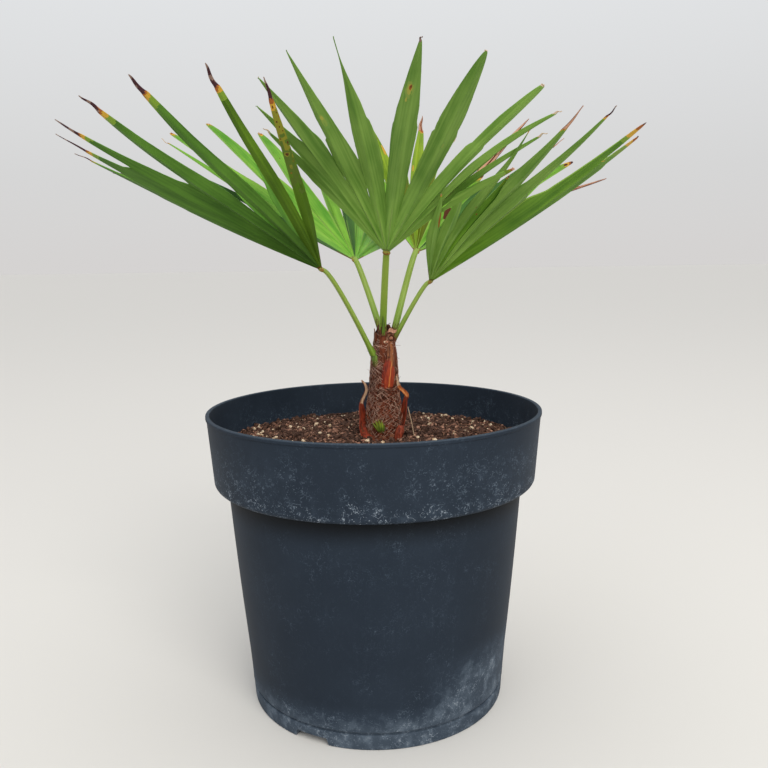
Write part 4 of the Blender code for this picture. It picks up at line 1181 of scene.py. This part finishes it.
class Fan:
    # a leaf's fan: its axes and fingers, and the place of any point on them
    def __init__(self, leaf, seed):
        self.axes = leafAxes(leaf)
        self.apex = Vector(leaf["apex"])
        self.cups = leaf["cups"]
        self.bow = leaf["bow"]
        self.bent = leaf["bent"]
        self.flare = leaf.get("flare", (0.5, 0.5))
        self.notches = leaf.get("notches", ())
        self.fingers = leaf["fingers"]
        self.last = len(self.fingers) - 1
        self.reach = sum(finger.length for finger in self.fingers) * millimetre / len(self.fingers)
        self.seed = seed
        self.splits = []
        for border in range(self.last + 2):
            near = self.fingers[max(border - 1, 0)]
            far = self.fingers[min(border, self.last)]
            self.splits.append(near.split * (near.length + far.length) / 2 * millimetre)

    def angleAt(self, j, radius):
        finger = self.fingers[j]
        share = radius / (finger.length * millimetre)
        width = leafShape["bendWidth"]
        turn = smoothStep(finger.bendAt - width, finger.bendAt + width, share)
        return math.radians(finger.base + (finger.tip - finger.base) * turn)

    def borderAt(self, border, radius):
        if border == 0:
            return self.angleAt(0, radius) + self.flare[0] * (self.angleAt(0, radius) - self.angleAt(1, radius))
        if border == self.last + 1:
            outer = self.angleAt(self.last, radius)
            return outer + self.flare[1] * (outer - self.angleAt(self.last - 1, radius))
        return (self.angleAt(border - 1, radius) + self.angleAt(border, radius)) / 2

    def fold(self, radius):
        share = min(radius / self.reach, 1.0)
        angle = leafShape["foldAtBase"] + (leafShape["foldAtTip"] - leafShape["foldAtBase"]) * share
        return math.tan(math.radians(angle))

    def halfWidth(self, j, side, radius):
        # half the finger's width on one side: its sector while united, its own outline once free
        finger = self.fingers[j]
        split = self.splits[j + side]
        united = min(radius, split)
        half = united * math.tan(abs(self.borderAt(j + side, united) - self.angleAt(j, united)))
        if radius <= split:
            return max(half, 0.00016)
        length = finger.length * millimetre
        peak = max(finger.peak * length, split + 0.006)
        widest = finger.width * millimetre / 2
        half += (widest - half) * smoothStep(split, peak, radius)
        if radius > peak:
            past = min((radius - peak) / (length - peak), 1.0)
            half *= (1.0 - past ** finger.shoulder) ** finger.power
        # a dead end is shrivelled
        narrowing = leafShape["endNarrowing"][finger.dryLook]
        tipDistance = (length - radius) / millimetre
        half *= 1.0 - narrowing * smoothStep(finger.dry + 1.5, finger.dry - 2.0, tipDistance)
        for notched, begin, notchSide, depth, reach in self.notches:
            past = radius / millimetre - begin
            if notched == j and notchSide == side and 0.0 < past < reach:
                half -= depth * millimetre * min(past, 1.0) * (1.0 - past / reach)
        free = smoothStep(split, split + 0.02, radius)
        place = Vector((radius / 0.016, self.seed + j * 3.7, side * 5.1))
        half *= 1.0 + free * leafShape["marginWave"] * noise.noise(place)
        half *= 1.0 + free * leafShape["marginTooth"] * noise.noise(place * 7.0)
        return max(half, 0.00016)

    def place(self, j, u, radius):
        halves = (self.halfWidth(j, 0, radius), self.halfWidth(j, 1, radius))
        side = 0 if u < 0.0 else 1
        half = halves[side]
        angle = self.angleAt(j, radius) + math.atan2(half * abs(u), radius) * (-1.0 if side == 0 else 1.0)
        middleDepth = (halves[0] + halves[1]) / 4 * self.fold(radius)
        edgeDepth = half * self.fold(radius) / 2
        lift = -middleDepth + (middleDepth + edgeDepth) * abs(u) ** 0.9
        share = radius / self.reach
        lift += self.bow * self.reach * (share - share ** 3)
        outward = leafRay(self.axes, self.cups, angle)
        point = self.apex + outward * radius + leafNormal(self.axes, self.cups, angle) * lift
        # the dead end curls a little from side to side
        finger = self.fingers[j]
        withered = 1.0 - (finger.length - radius / millimetre) / max(finger.dry, 1.0)
        if withered > 0.0:
            wiggle = leafShape["endWiggle"] * math.sin(withered * math.pi * 1.6)
            turn = noise.noise(Vector((j * 2.3, self.seed, 8.0))) * 6.0
            side = outward.cross(up).normalized()
            point += side * wiggle * math.sin(turn) + up * wiggle * math.cos(turn)
        if j in self.bent:
            crease, drop, forward = self.bent[j]
            past = max(radius / (self.fingers[j].length * millimetre) - crease, 0.0) / (1.0 - crease)
            point -= Vector((0.0, forward, drop)) * millimetre * past ** 1.6
        return point


def leafMaterial(name, dark, light, roughness, paintedBaseShading):
    # living leaf: waxy, with veins lengthwise and a slow change of tone from finger to finger
    material, tree, shader = startMaterial(name, dark, roughness, 1.45)
    shader.inputs["Specular IOR Level"].default_value = 0.2
    across = addNode(tree, "ShaderNodeUVMap", uv_map="leafMap").outputs["UV"]
    # the veins are about 0.5 mm apart, drawn at 1.5 mm so that they show
    lines = addNode(tree, "ShaderNodeMapping", {"Vector": across, "Scale": (1.0 / 1.5, 1.0 / 80.0, 1.0)})
    veins = addNode(tree, "ShaderNodeTexNoise",
                    {"Vector": lines.outputs["Vector"], "Scale": 1.0, "Detail": 2.0})
    broad = addNode(tree, "ShaderNodeMapping", {"Vector": across, "Scale": (1.0 / 9.0, 1.0 / 34.0, 1.0)})
    cloud = addNode(tree, "ShaderNodeTexNoise",
                    {"Vector": broad.outputs["Vector"], "Scale": 1.0, "Detail": 2.0})
    mixed = addNode(tree, "ShaderNodeMath", {0: veins.outputs["Fac"], 1: cloud.outputs["Fac"]}, operation="ADD")
    half = addNode(tree, "ShaderNodeMath", {0: mixed.outputs[0], 1: 0.5}, operation="MULTIPLY")
    colour = colourRamp(tree, half.outputs[0], ((0.38, dark), (0.62, light)))
    # near the hastula the colour is scaled: painted shade where the factor is under 1, painted light where it is over
    # 1
    reach = addNode(tree, "ShaderNodeSeparateXYZ", {"Vector": across}).outputs["Y"]
    level = addNode(tree, "ShaderNodeMapRange", {"Value": reach, "From Min": 12.0, "From Max": 80.0,
                                                 "To Min": paintedBaseShading, "To Max": 1.0}).outputs["Result"]
    shaded = addNode(tree, "ShaderNodeVectorMath", {0: colour, "Scale": level}, operation="SCALE")
    tree.links.new(shaded.outputs[0], shader.inputs["Base Color"])
    bump = addNode(tree, "ShaderNodeBump",
                   {"Height": veins.outputs["Fac"], "Strength": 0.3, "Distance": 0.0003})
    tree.links.new(bump.outputs["Normal"], shader.inputs["Normal"])
    return material


def leafLooks():
    # upper and lower tissue of each tone, then what both sides share: painted edge highlights, ribs and dead ends
    upper = {}
    lower = {}
    for tone, (upperDark, upperLight, lowerDark, lowerLight, roughness, paintedBaseShading) in leafTones.items():
        upper[tone] = leafMaterial(tone + "LeafUpper", upperDark, upperLight, roughness, paintedBaseShading)
        lower[tone] = leafMaterial(tone + "LeafLower", lowerDark, lowerLight, roughness + 0.1, paintedBaseShading)
    shared = {}
    # painted edge highlights, ribs and spent tissue at the fingers' ends, plain and matt: dealt out by place, not by
    # a pattern
    for look, code, roughness in (
            ("margin", "7c9f3a", 0.5), ("rib", "7a9a44", 0.5), ("base", "6f4f26", 0.7), ("lime", "6d8a22", 0.55),
            ("yellow", "b8902a", 0.6), ("ochre", "935626", 0.7), ("purple", "41262a", 0.8),
            ("grey", "80685c", 0.85), ("tan", "b58a70", 0.85), ("dry", "522c1c", 0.85), ("rust", "7c432c", 0.8),
            ("pale", "bfa991", 0.85), ("oldYellow", "7c7a1c", 0.6), ("oldOlive", "4e6416", 0.55),
            ("blotch", "98983c", 0.6), ("blotchEdge", "79903a", 0.55), ("faded", "658a38", 0.5)):
        shared[look] = plainMaterial(look + "LeafTissue", code, roughness)
    return {**upper, **shared}, {**lower, **shared}


def fingerLook(fan, leaf, j, radius, u, jitter):
    # which tissue a spot on a finger is, from its distance to the tip
    finger = fan.fingers[j]
    distance = finger.length - radius / millimetre + jitter * 2.2 + u * 0.9
    green = finger.tone or leaf["tone"]
    if distance < finger.dry:
        if finger.dryLook == "purple":
            return "grey" if jitter < -0.25 or distance < finger.dry * 0.16 else "purple"
        if finger.dryLook == "tan" and finger.dry > 12:
            streak = noise.noise(Vector((u * 3.1, radius / 0.03, j * 4.0)))
            return "dry" if streak > 0.30 or abs(u) > 0.9 else "rust" if streak < -0.34 else "tan"
        return finger.dryLook
    beyond = distance - finger.dry
    if beyond < finger.yellow * 0.4:
        return "ochre"
    if beyond < finger.yellow:
        return "yellow"
    if beyond < finger.yellow + finger.lime:
        if j not in leaf.get("oldEnd", ()):
            return "lime"
        old = (beyond - finger.yellow) / finger.lime + jitter * 0.35
        return "oldYellow" if old < 0.40 else "oldOlive" if old < 0.9 else green
    return green


def fingerPart(fan, leaf, j, order):
    # one finger as a grid: its columns run across the fold and its rows out to the tip
    finger = fan.fingers[j]
    length = finger.length * millimetre
    fineReach = min(finger.dry + finger.yellow + 6.0, 32.0) * millimetre
    coarse = math.ceil((length - fineReach - leafShape["start"]) / leafShape["coarseStep"])
    fine = math.ceil(fineReach / leafShape["fineStep"])
    radii = [leafShape["start"] + (length - fineReach - leafShape["start"]) * k / coarse for k in range(coarse)]
    radii += [length - fineReach + fineReach * k / fine for k in range(fine + 1)]
    rows = len(radii) - 1
    half = leafShape["columns"]
    columns = list(reversed([-u for u in half[1:]])) + list(half)
    last = len(columns) - 1
    endFinger = j in (0, fan.last)
    part = bmesh.new()
    uvLayer = part.loops.layers.uv.new("leafMap")
    bmesh.ops.create_grid(part, x_segments=last, y_segments=rows, size=0.5)
    flat = {}
    for vert in part.verts:
        u = columns[last - round((vert.co.x + 0.5) * last)]
        radius = radii[round((vert.co.y + 0.5) * rows)]
        flat[vert] = (u, radius, fan.halfWidth(j, 0 if u < 0 else 1, radius) / millimetre)
    for vert, (u, radius, halfMm) in flat.items():
        vert.co = fan.place(j, u, radius)
    for face in part.faces:
        shares = [flat[vert] for vert in face.verts]
        u, radius, halfMm = (sum(share[k] for share in shares) / 4 for k in range(3))
        jitter = noise.noise(face.calc_center_median() / 0.0032)
        look = fingerLook(fan, leaf, j, radius, u, jitter)
        if look in leafTones:
            if radius < 0.0045 or (endFinger and radius < 0.016 and (u < -0.6 if j == 0 else u > 0.6)):
                look = "base"
            # the edges of fingers in the lighter tones take a paler green, a painted highlight where the edges catch
            # the light
            elif abs(u) > 0.92 and look in leafShape["highlightedEdgeTones"]:
                look = "margin"
            elif abs(u) < 0.07 and radius < leaf["ribs"][0] * length:
                look = "rib"
        face.material_index = order.index(look)
        for loop in face.loops:
            u, radius, halfMm = flat[loop.vert]
            loop[uvLayer].uv = (u * halfMm + 40.0 * j, radius / millimetre)
    mesh = bpy.data.meshes.new("fingerPart")
    part.to_mesh(mesh)
    part.free()
    return mesh


def makeBlade(name, leaf, fan, upper, lower):
    order = list(upper)
    whole = bmesh.new()
    whole.loops.layers.uv.new("leafMap")
    for j in range(len(fan.fingers)):
        part = fingerPart(fan, leaf, j, order)
        whole.from_mesh(part)
        bpy.data.meshes.remove(part)
    bmesh.ops.remove_doubles(whole, verts=whole.verts, dist=0.00004)
    mesh = bpy.data.meshes.new(name)
    whole.to_mesh(mesh)
    whole.free()
    shadeMesh(mesh, 50.0)
    materials = [upper[key] for key in order] + [lower[key] for key in order]
    piece = addPiece(name, mesh, materials, ("blade_" + leaf["node"],))
    solid = piece.modifiers.new("leafThickness", "SOLIDIFY")
    solid.thickness = leafShape["thickness"]
    solid.offset = -1.0
    solid.material_offset = len(order)


def spotSheets(fan, leaf, looks):
    # spots of damage: small rounds that follow the blade, on both of its faces
    sheets = []
    for index, (j, radius, middle, length, width, core, rim) in enumerate(leaf["spots"]):
        for face in (0, 1):
            proud = 0.00007 + 0.00002 * (index % 4)
            lift = proud if face == 0 else -leafShape["thickness"] - proud

            def place(u, t, j=j, radius=radius, middle=middle, length=length, width=width, face=face, lift=lift,
                      index=index):
                turn = math.pi * u * (1 if face == 0 else -1)
                ragged = 1.0 + 0.35 * noise.noise(Vector((math.cos(turn) * 1.6, math.sin(turn) * 1.6, index * 3.0)))
                reach = radius * millimetre + math.cos(turn) * t * ragged * length * millimetre / 2
                half = fan.halfWidth(j, 0 if middle < 0 else 1, radius * millimetre)
                across = middle + math.sin(turn) * t * ragged * width * millimetre / 2 / half
                across = min(max(across, -0.99), 0.99)
                angle = fan.angleAt(j, reach)
                return fan.place(j, across, reach) + leafNormal(fan.axes, fan.cups, angle) * lift
            inside = looks.index(core)
            edge = looks.index(rim)
            sheets.append((place, 14, 5, lambda u, t, inside=inside, edge=edge: inside if t < 0.6 else edge))
    return sheets


def ribStrands(fan, leaf):
    # the pale ribs, which stand out on both faces near the hastula
    strands = []
    reachShare, thickness, look = leaf["ribs"]
    for j, finger in enumerate(fan.fingers):
        reach = max(reachShare, 0.12) * finger.length * millimetre
        points = []
        radii = []
        for k in range(13):
            radius = 0.0025 + (reach - 0.0025) * k / 12
            normal = leafNormal(fan.axes, fan.cups, fan.angleAt(j, radius))
            points.append(fan.place(j, 0.0, radius) - normal * leafShape["thickness"] / 2)
            radii.append(thickness * millimetre * (1.0 - 0.92 * k / 12))
        strands.append((points, radii, look))
    return strands


def makeLeafDetails(fans):
    looks = ("faded", "blotchEdge", "blotch", "lime", "yellow", "oldYellow", "ochre", "purple", "dry")
    sheets = []
    strands = []
    knots = bmesh.new()
    for name, leaf in leaves.items():
        sheets += spotSheets(fans[name], leaf, looks)
        strands += ribStrands(fans[name], leaf)
        # the hastula, the small tongue where the stalk meets the blade
        along, across, upper = fans[name].axes
        made = bmesh.ops.create_icosphere(knots, subdivisions=2, radius=0.0026)["verts"]
        turned = Matrix((along, across * 1.15, upper * 0.62)).transposed().to_4x4()
        bmesh.ops.transform(knots, verts=made, matrix=Matrix.Translation(fans[name].apex + along * 0.0004) @ turned)
    bm = bmesh.new()
    for sheet in sheets:
        gridSheet(bm, *sheet)
    mesh = bpy.data.meshes.new("leafSpots")
    bm.to_mesh(mesh)
    bm.free()
    shadeMesh(mesh, 60.0)
    addPiece("leafSpots", mesh, [bpy.data.materials[look + "LeafTissue"] for look in looks])
    ribs = [plainMaterial("paleRib", "adbf6e", 0.5), plainMaterial("greenRib", "6d8f42", 0.5),
            plainMaterial("darkRib", "4a6c22", 0.5)]
    strandPiece("leafRibs", strands, ribs)
    knot = fibreMaterial("hastulaBrown", "7a5528", "a28a3e", 1.6, 0.6)
    pieceFromBmesh("hastulas", knots, [knot], smoothAngle=60.0)


# Petioles

petioleShape = {
    "rootRadius": 0.0026,
    "tipRadius": 0.0021,
    "baseSwell": 0.0007,
    "startReach": 0.26,
    "neck": 0.0040,
    "neckReach": 0.10,
    "steps": 90,
    "sides": 24,
}


def petiolePath(leaf):
    distance, azimuth, height = leaf["root"]
    root = trunkAxis(0.2078 + height) + polar(distance, azimuth)
    along = leafAxes(leaf)[0]
    head = Vector(leaf["apex"]) + along * 0.0023
    neck = head - along * petioleShape["neck"]
    reach = (neck - root).length
    start = ((neck - root).normalized() + up * leaf["lift"]).normalized()
    first = root + start * reach * petioleShape["startReach"]
    second = neck - along * reach * petioleShape["neckReach"]
    steps = petioleShape["steps"]
    points = []
    for k in range(steps + 1):
        t = k / steps
        s = 1.0 - t
        points.append(root * s ** 3 + first * 3 * s * s * t + second * 3 * s * t * t + neck * t ** 3)
    return points + [head]


def petioleMaterial():
    # green stalk, smooth and waxy, brown and fibrous at its foot
    material, tree, shader = startMaterial("waxyStalk", "7d9a3c", 0.42, 1.45)
    place = addNode(tree, "ShaderNodeUVMap", uv_map="stalkMap").outputs["UV"]
    parts = addNode(tree, "ShaderNodeSeparateXYZ", {"Vector": place}).outputs
    stretched = addNode(tree, "ShaderNodeMapping", {"Vector": place, "Scale": (0.7, 0.10, 1.0)})
    cloud = addNode(tree, "ShaderNodeTexNoise", {"Vector": stretched.outputs["Vector"], "Scale": 1.0, "Detail": 3.0})
    spread = addNode(tree, "ShaderNodeMapRange", {"Value": cloud.outputs["Fac"], "To Min": -5.0, "To Max": 5.0})
    ragged = addNode(tree, "ShaderNodeMath", {0: parts["Y"], 1: spread.outputs["Result"]}, operation="ADD")
    rise = addNode(tree, "ShaderNodeMapRange", {"Value": ragged.outputs[0], "From Min": 0.0, "From Max": 40.0},
                   clamp=True)
    colour = colourRamp(tree, rise.outputs["Result"],
                        ((0.0, "6a4a2c"), (0.10, "7a6d27"), (0.24, "708c25"), (0.6, "799531"), (1.0, "849c3b")))
    tree.links.new(colour, shader.inputs["Base Color"])
    bump = addNode(tree, "ShaderNodeBump", {"Height": cloud.outputs["Fac"], "Strength": 0.15, "Distance": 0.0003})
    tree.links.new(bump.outputs["Normal"], shader.inputs["Normal"])
    return material


def makePetiole(name, leaf, materials):
    points = petiolePath(leaf)
    side = leafAxes(leaf)[1]
    last = len(points) - 1
    sides = petioleShape["sides"]
    travelled = [0.0]
    for near, far in zip(points, points[1:]):
        travelled.append(travelled[-1] + (far - near).length / millimetre)
    bm = bmesh.new()
    uvLayer = bm.loops.layers.uv.new("stalkMap")
    bmesh.ops.create_grid(bm, x_segments=sides, y_segments=last, size=0.5)
    rings = {}
    for vert in bm.verts:
        rings[vert] = (round((vert.co.x + 0.5) * sides), round((vert.co.y + 0.5) * last))
    for face in bm.faces:
        for loop in face.loops:
            j, k = rings[loop.vert]
            loop[uvLayer].uv = (20.0 * j / sides, travelled[k] + leaf.get("greenFoot", 0.0))
    frames = []
    for k, point in enumerate(points):
        along = (points[min(k + 1, last)] - points[max(k - 1, 0)]).normalized()
        side = (side - along * side.dot(along)).normalized()
        frames.append((point, side, side.cross(along)))
    for vert, (j, k) in rings.items():
        point, side, top = frames[k]
        share = k / last
        radius = petioleShape["rootRadius"] + (petioleShape["tipRadius"] - petioleShape["rootRadius"]) * share
        radius += petioleShape["baseSwell"] * (1.0 - smoothStep(0.0, 0.16, share))
        turn = math.tau * j / sides
        wide = math.cos(turn) * radius * 1.10
        deep = math.sin(turn) * radius * (0.60 if math.sin(turn) > 0.0 else 0.95)
        vert.co = point + side * wide + top * deep
    bmesh.ops.remove_doubles(bm, verts=bm.verts, dist=0.00001)
    ends = [edge for edge in bm.edges if edge.is_boundary]
    bmesh.ops.holes_fill(bm, edges=ends)
    brownTo, oliveTo = leaf["foot"]
    for face in bm.faces:
        middle = face.calc_center_median()
        streaks = noise.noise(Vector((middle.x, middle.y, middle.z * 0.16)) / 0.0008)
        ragged = middle.z + 0.0060 * streaks
        face.material_index = 1 if ragged < brownTo else 2 if ragged < oliveTo else 0
    return pieceFromBmesh(name, bm, materials, ("petiole_" + leaf["node"],), 60.0)


# rows of (azimuth, height, proud, half width) in degrees and mm, from the foot up
claspKeys = ((-132.0, 261.0, 0.4, 2.4), (-137.0, 264.5, 0.8, 3.6), (-143.0, 268.5, 1.1, 4.2),
             (-151.0, 272.5, 1.2, 3.6), (-160.0, 275.5, 1.0, 2.2), (-166.0, 277.5, 0.6, 1.0))


def makeClasp():
    # the lowest stalk's foot runs down the trunk as a green sheath that browns towards its lower end
    def lookOf(u, t):
        ragged = 0.10 * noise.noise(Vector((u * 4.0, t * 3.0, 0.0)))
        if t < 0.08 + ragged:
            return 2
        return 1 if t < 0.28 + ragged or abs(u) > 0.88 + ragged else 0
    looks = [
        fibreMaterial("claspGreen", "4f6620", "6f8a30", 1.5, 0.55),
        fibreMaterial("claspOlive", "494a1c", "66682a", 1.5, 0.7),
        fibreMaterial("claspBrown", "45291d", "6f4936", 1.4, 0.85),
    ]
    sheetPiece("stalkClasp", [(trunkPatch(claspKeys, 0.0012, 0.06, 5.0), 16, 40, lookOf)], 0.0004, looks)


def makeLeaves():
    upper, lower = leafLooks()
    stalk = [petioleMaterial(), fibreMaterial("stalkFootBrown", "4a2a1d", "7f4d36", 1.4, 0.8),
             fibreMaterial("stalkFootOlive", "55561f", "75792d", 1.4, 0.6)]
    fans = {}
    for seed, (name, leaf) in enumerate(leaves.items()):
        fans[name] = Fan(leaf, seed * 17.0)
        makeBlade("leaf" + name, leaf, fans[name], upper, lower)
        makePetiole("stalk" + name, leaf, stalk)
        print("leaf", name)
    makeClasp()
    makeLeafDetails(fans)
    print("leaves: clasp, spots, ribs and hastulas")


# Stage, lights and camera

stage = {
    "floorSize": 60.0,
    "floorColour": "d8d5d0",
    # the studio's soft dome: (sine of the height above the horizon, colour), brighter overhead
    "dome": ((0.0, "c8c6c5"), (0.10, "c9c9c9"), (0.45, "dcdfe2"), (1.0, "ffffff")),
    "domeStrength": 1.15,
    "cameraPlace": (0.0082, -0.6202, 0.3430),
    "cameraPitch": 8.8,
    "cameraRoll": 0.824,
    "lens": 37.5,
}


def areaLight(name, place, target, size, power, colour):
    data = bpy.data.lights.new(name, "AREA")
    data.shape = "DISK"
    data.size = size
    data.energy = power
    data.color = hexColour(colour)[:3]
    lamp = bpy.data.objects.new(name, data)
    lamp.location = place
    lamp.rotation_euler = (Vector(target) - Vector(place)).to_track_quat("-Z", "Y").to_euler()
    bpy.context.scene.collection.objects.link(lamp)


def makeStage():
    bm = bmesh.new()
    bmesh.ops.create_grid(bm, x_segments=1, y_segments=1, size=stage["floorSize"] / 2)
    mesh = bpy.data.meshes.new("studioFloor")
    bm.to_mesh(mesh)
    bm.free()
    mesh.materials.append(plainMaterial("paleFloorPaint", stage["floorColour"], 0.8))
    floor = bpy.data.objects.new("studioFloor", mesh)
    bpy.context.scene.collection.objects.link(floor)
    world = bpy.data.worlds.new("softStudio")
    world.use_nodes = True
    tree = world.node_tree
    direction = addNode(tree, "ShaderNodeTexCoord").outputs["Generated"]
    height = addNode(tree, "ShaderNodeSeparateXYZ", {"Vector": direction}).outputs["Z"]
    background = tree.nodes["Background"]
    tree.links.new(colourRamp(tree, height, stage["dome"]), background.inputs["Color"])
    background.inputs["Strength"].default_value = stage["domeStrength"]
    bpy.context.scene.world = world
    areaLight("keyPanel", (0.9, -2.2, 1.9), (0.0, 0.0, 0.25), 1.8, 46.0, "fffdf8")
    areaLight("fillPanel", (-1.6, -1.9, 0.9), (0.0, 0.0, 0.25), 1.4, 5.0, "f6faff")


def makeCamera():
    pitch = math.radians(stage["cameraPitch"])
    roll = math.radians(stage["cameraRoll"])
    forward = Vector((0.0, math.cos(pitch), -math.sin(pitch)))
    right = Vector((1.0, 0.0, 0.0))
    high = Vector((0.0, math.sin(pitch), math.cos(pitch)))
    cameraRight = right * math.cos(roll) - high * math.sin(roll)
    cameraUp = high * math.cos(roll) + right * math.sin(roll)
    turn = Matrix((cameraRight, cameraUp, -forward)).transposed().to_4x4()
    data = bpy.data.cameras.new("photoCamera")
    data.lens = stage["lens"]
    data.sensor_width = 36.0
    data.clip_start = 0.01
    camera = bpy.data.objects.new("photoCamera", data)
    camera.matrix_world = Matrix.Translation(stage["cameraPlace"]) @ turn
    bpy.context.scene.collection.objects.link(camera)
    bpy.context.scene.camera = camera


makeCamera()
makeStage()
makePot()
makeCompost()
makeTrunk()
makeLeaves()
bpy.context.scene.view_settings.view_transform = "Standard"
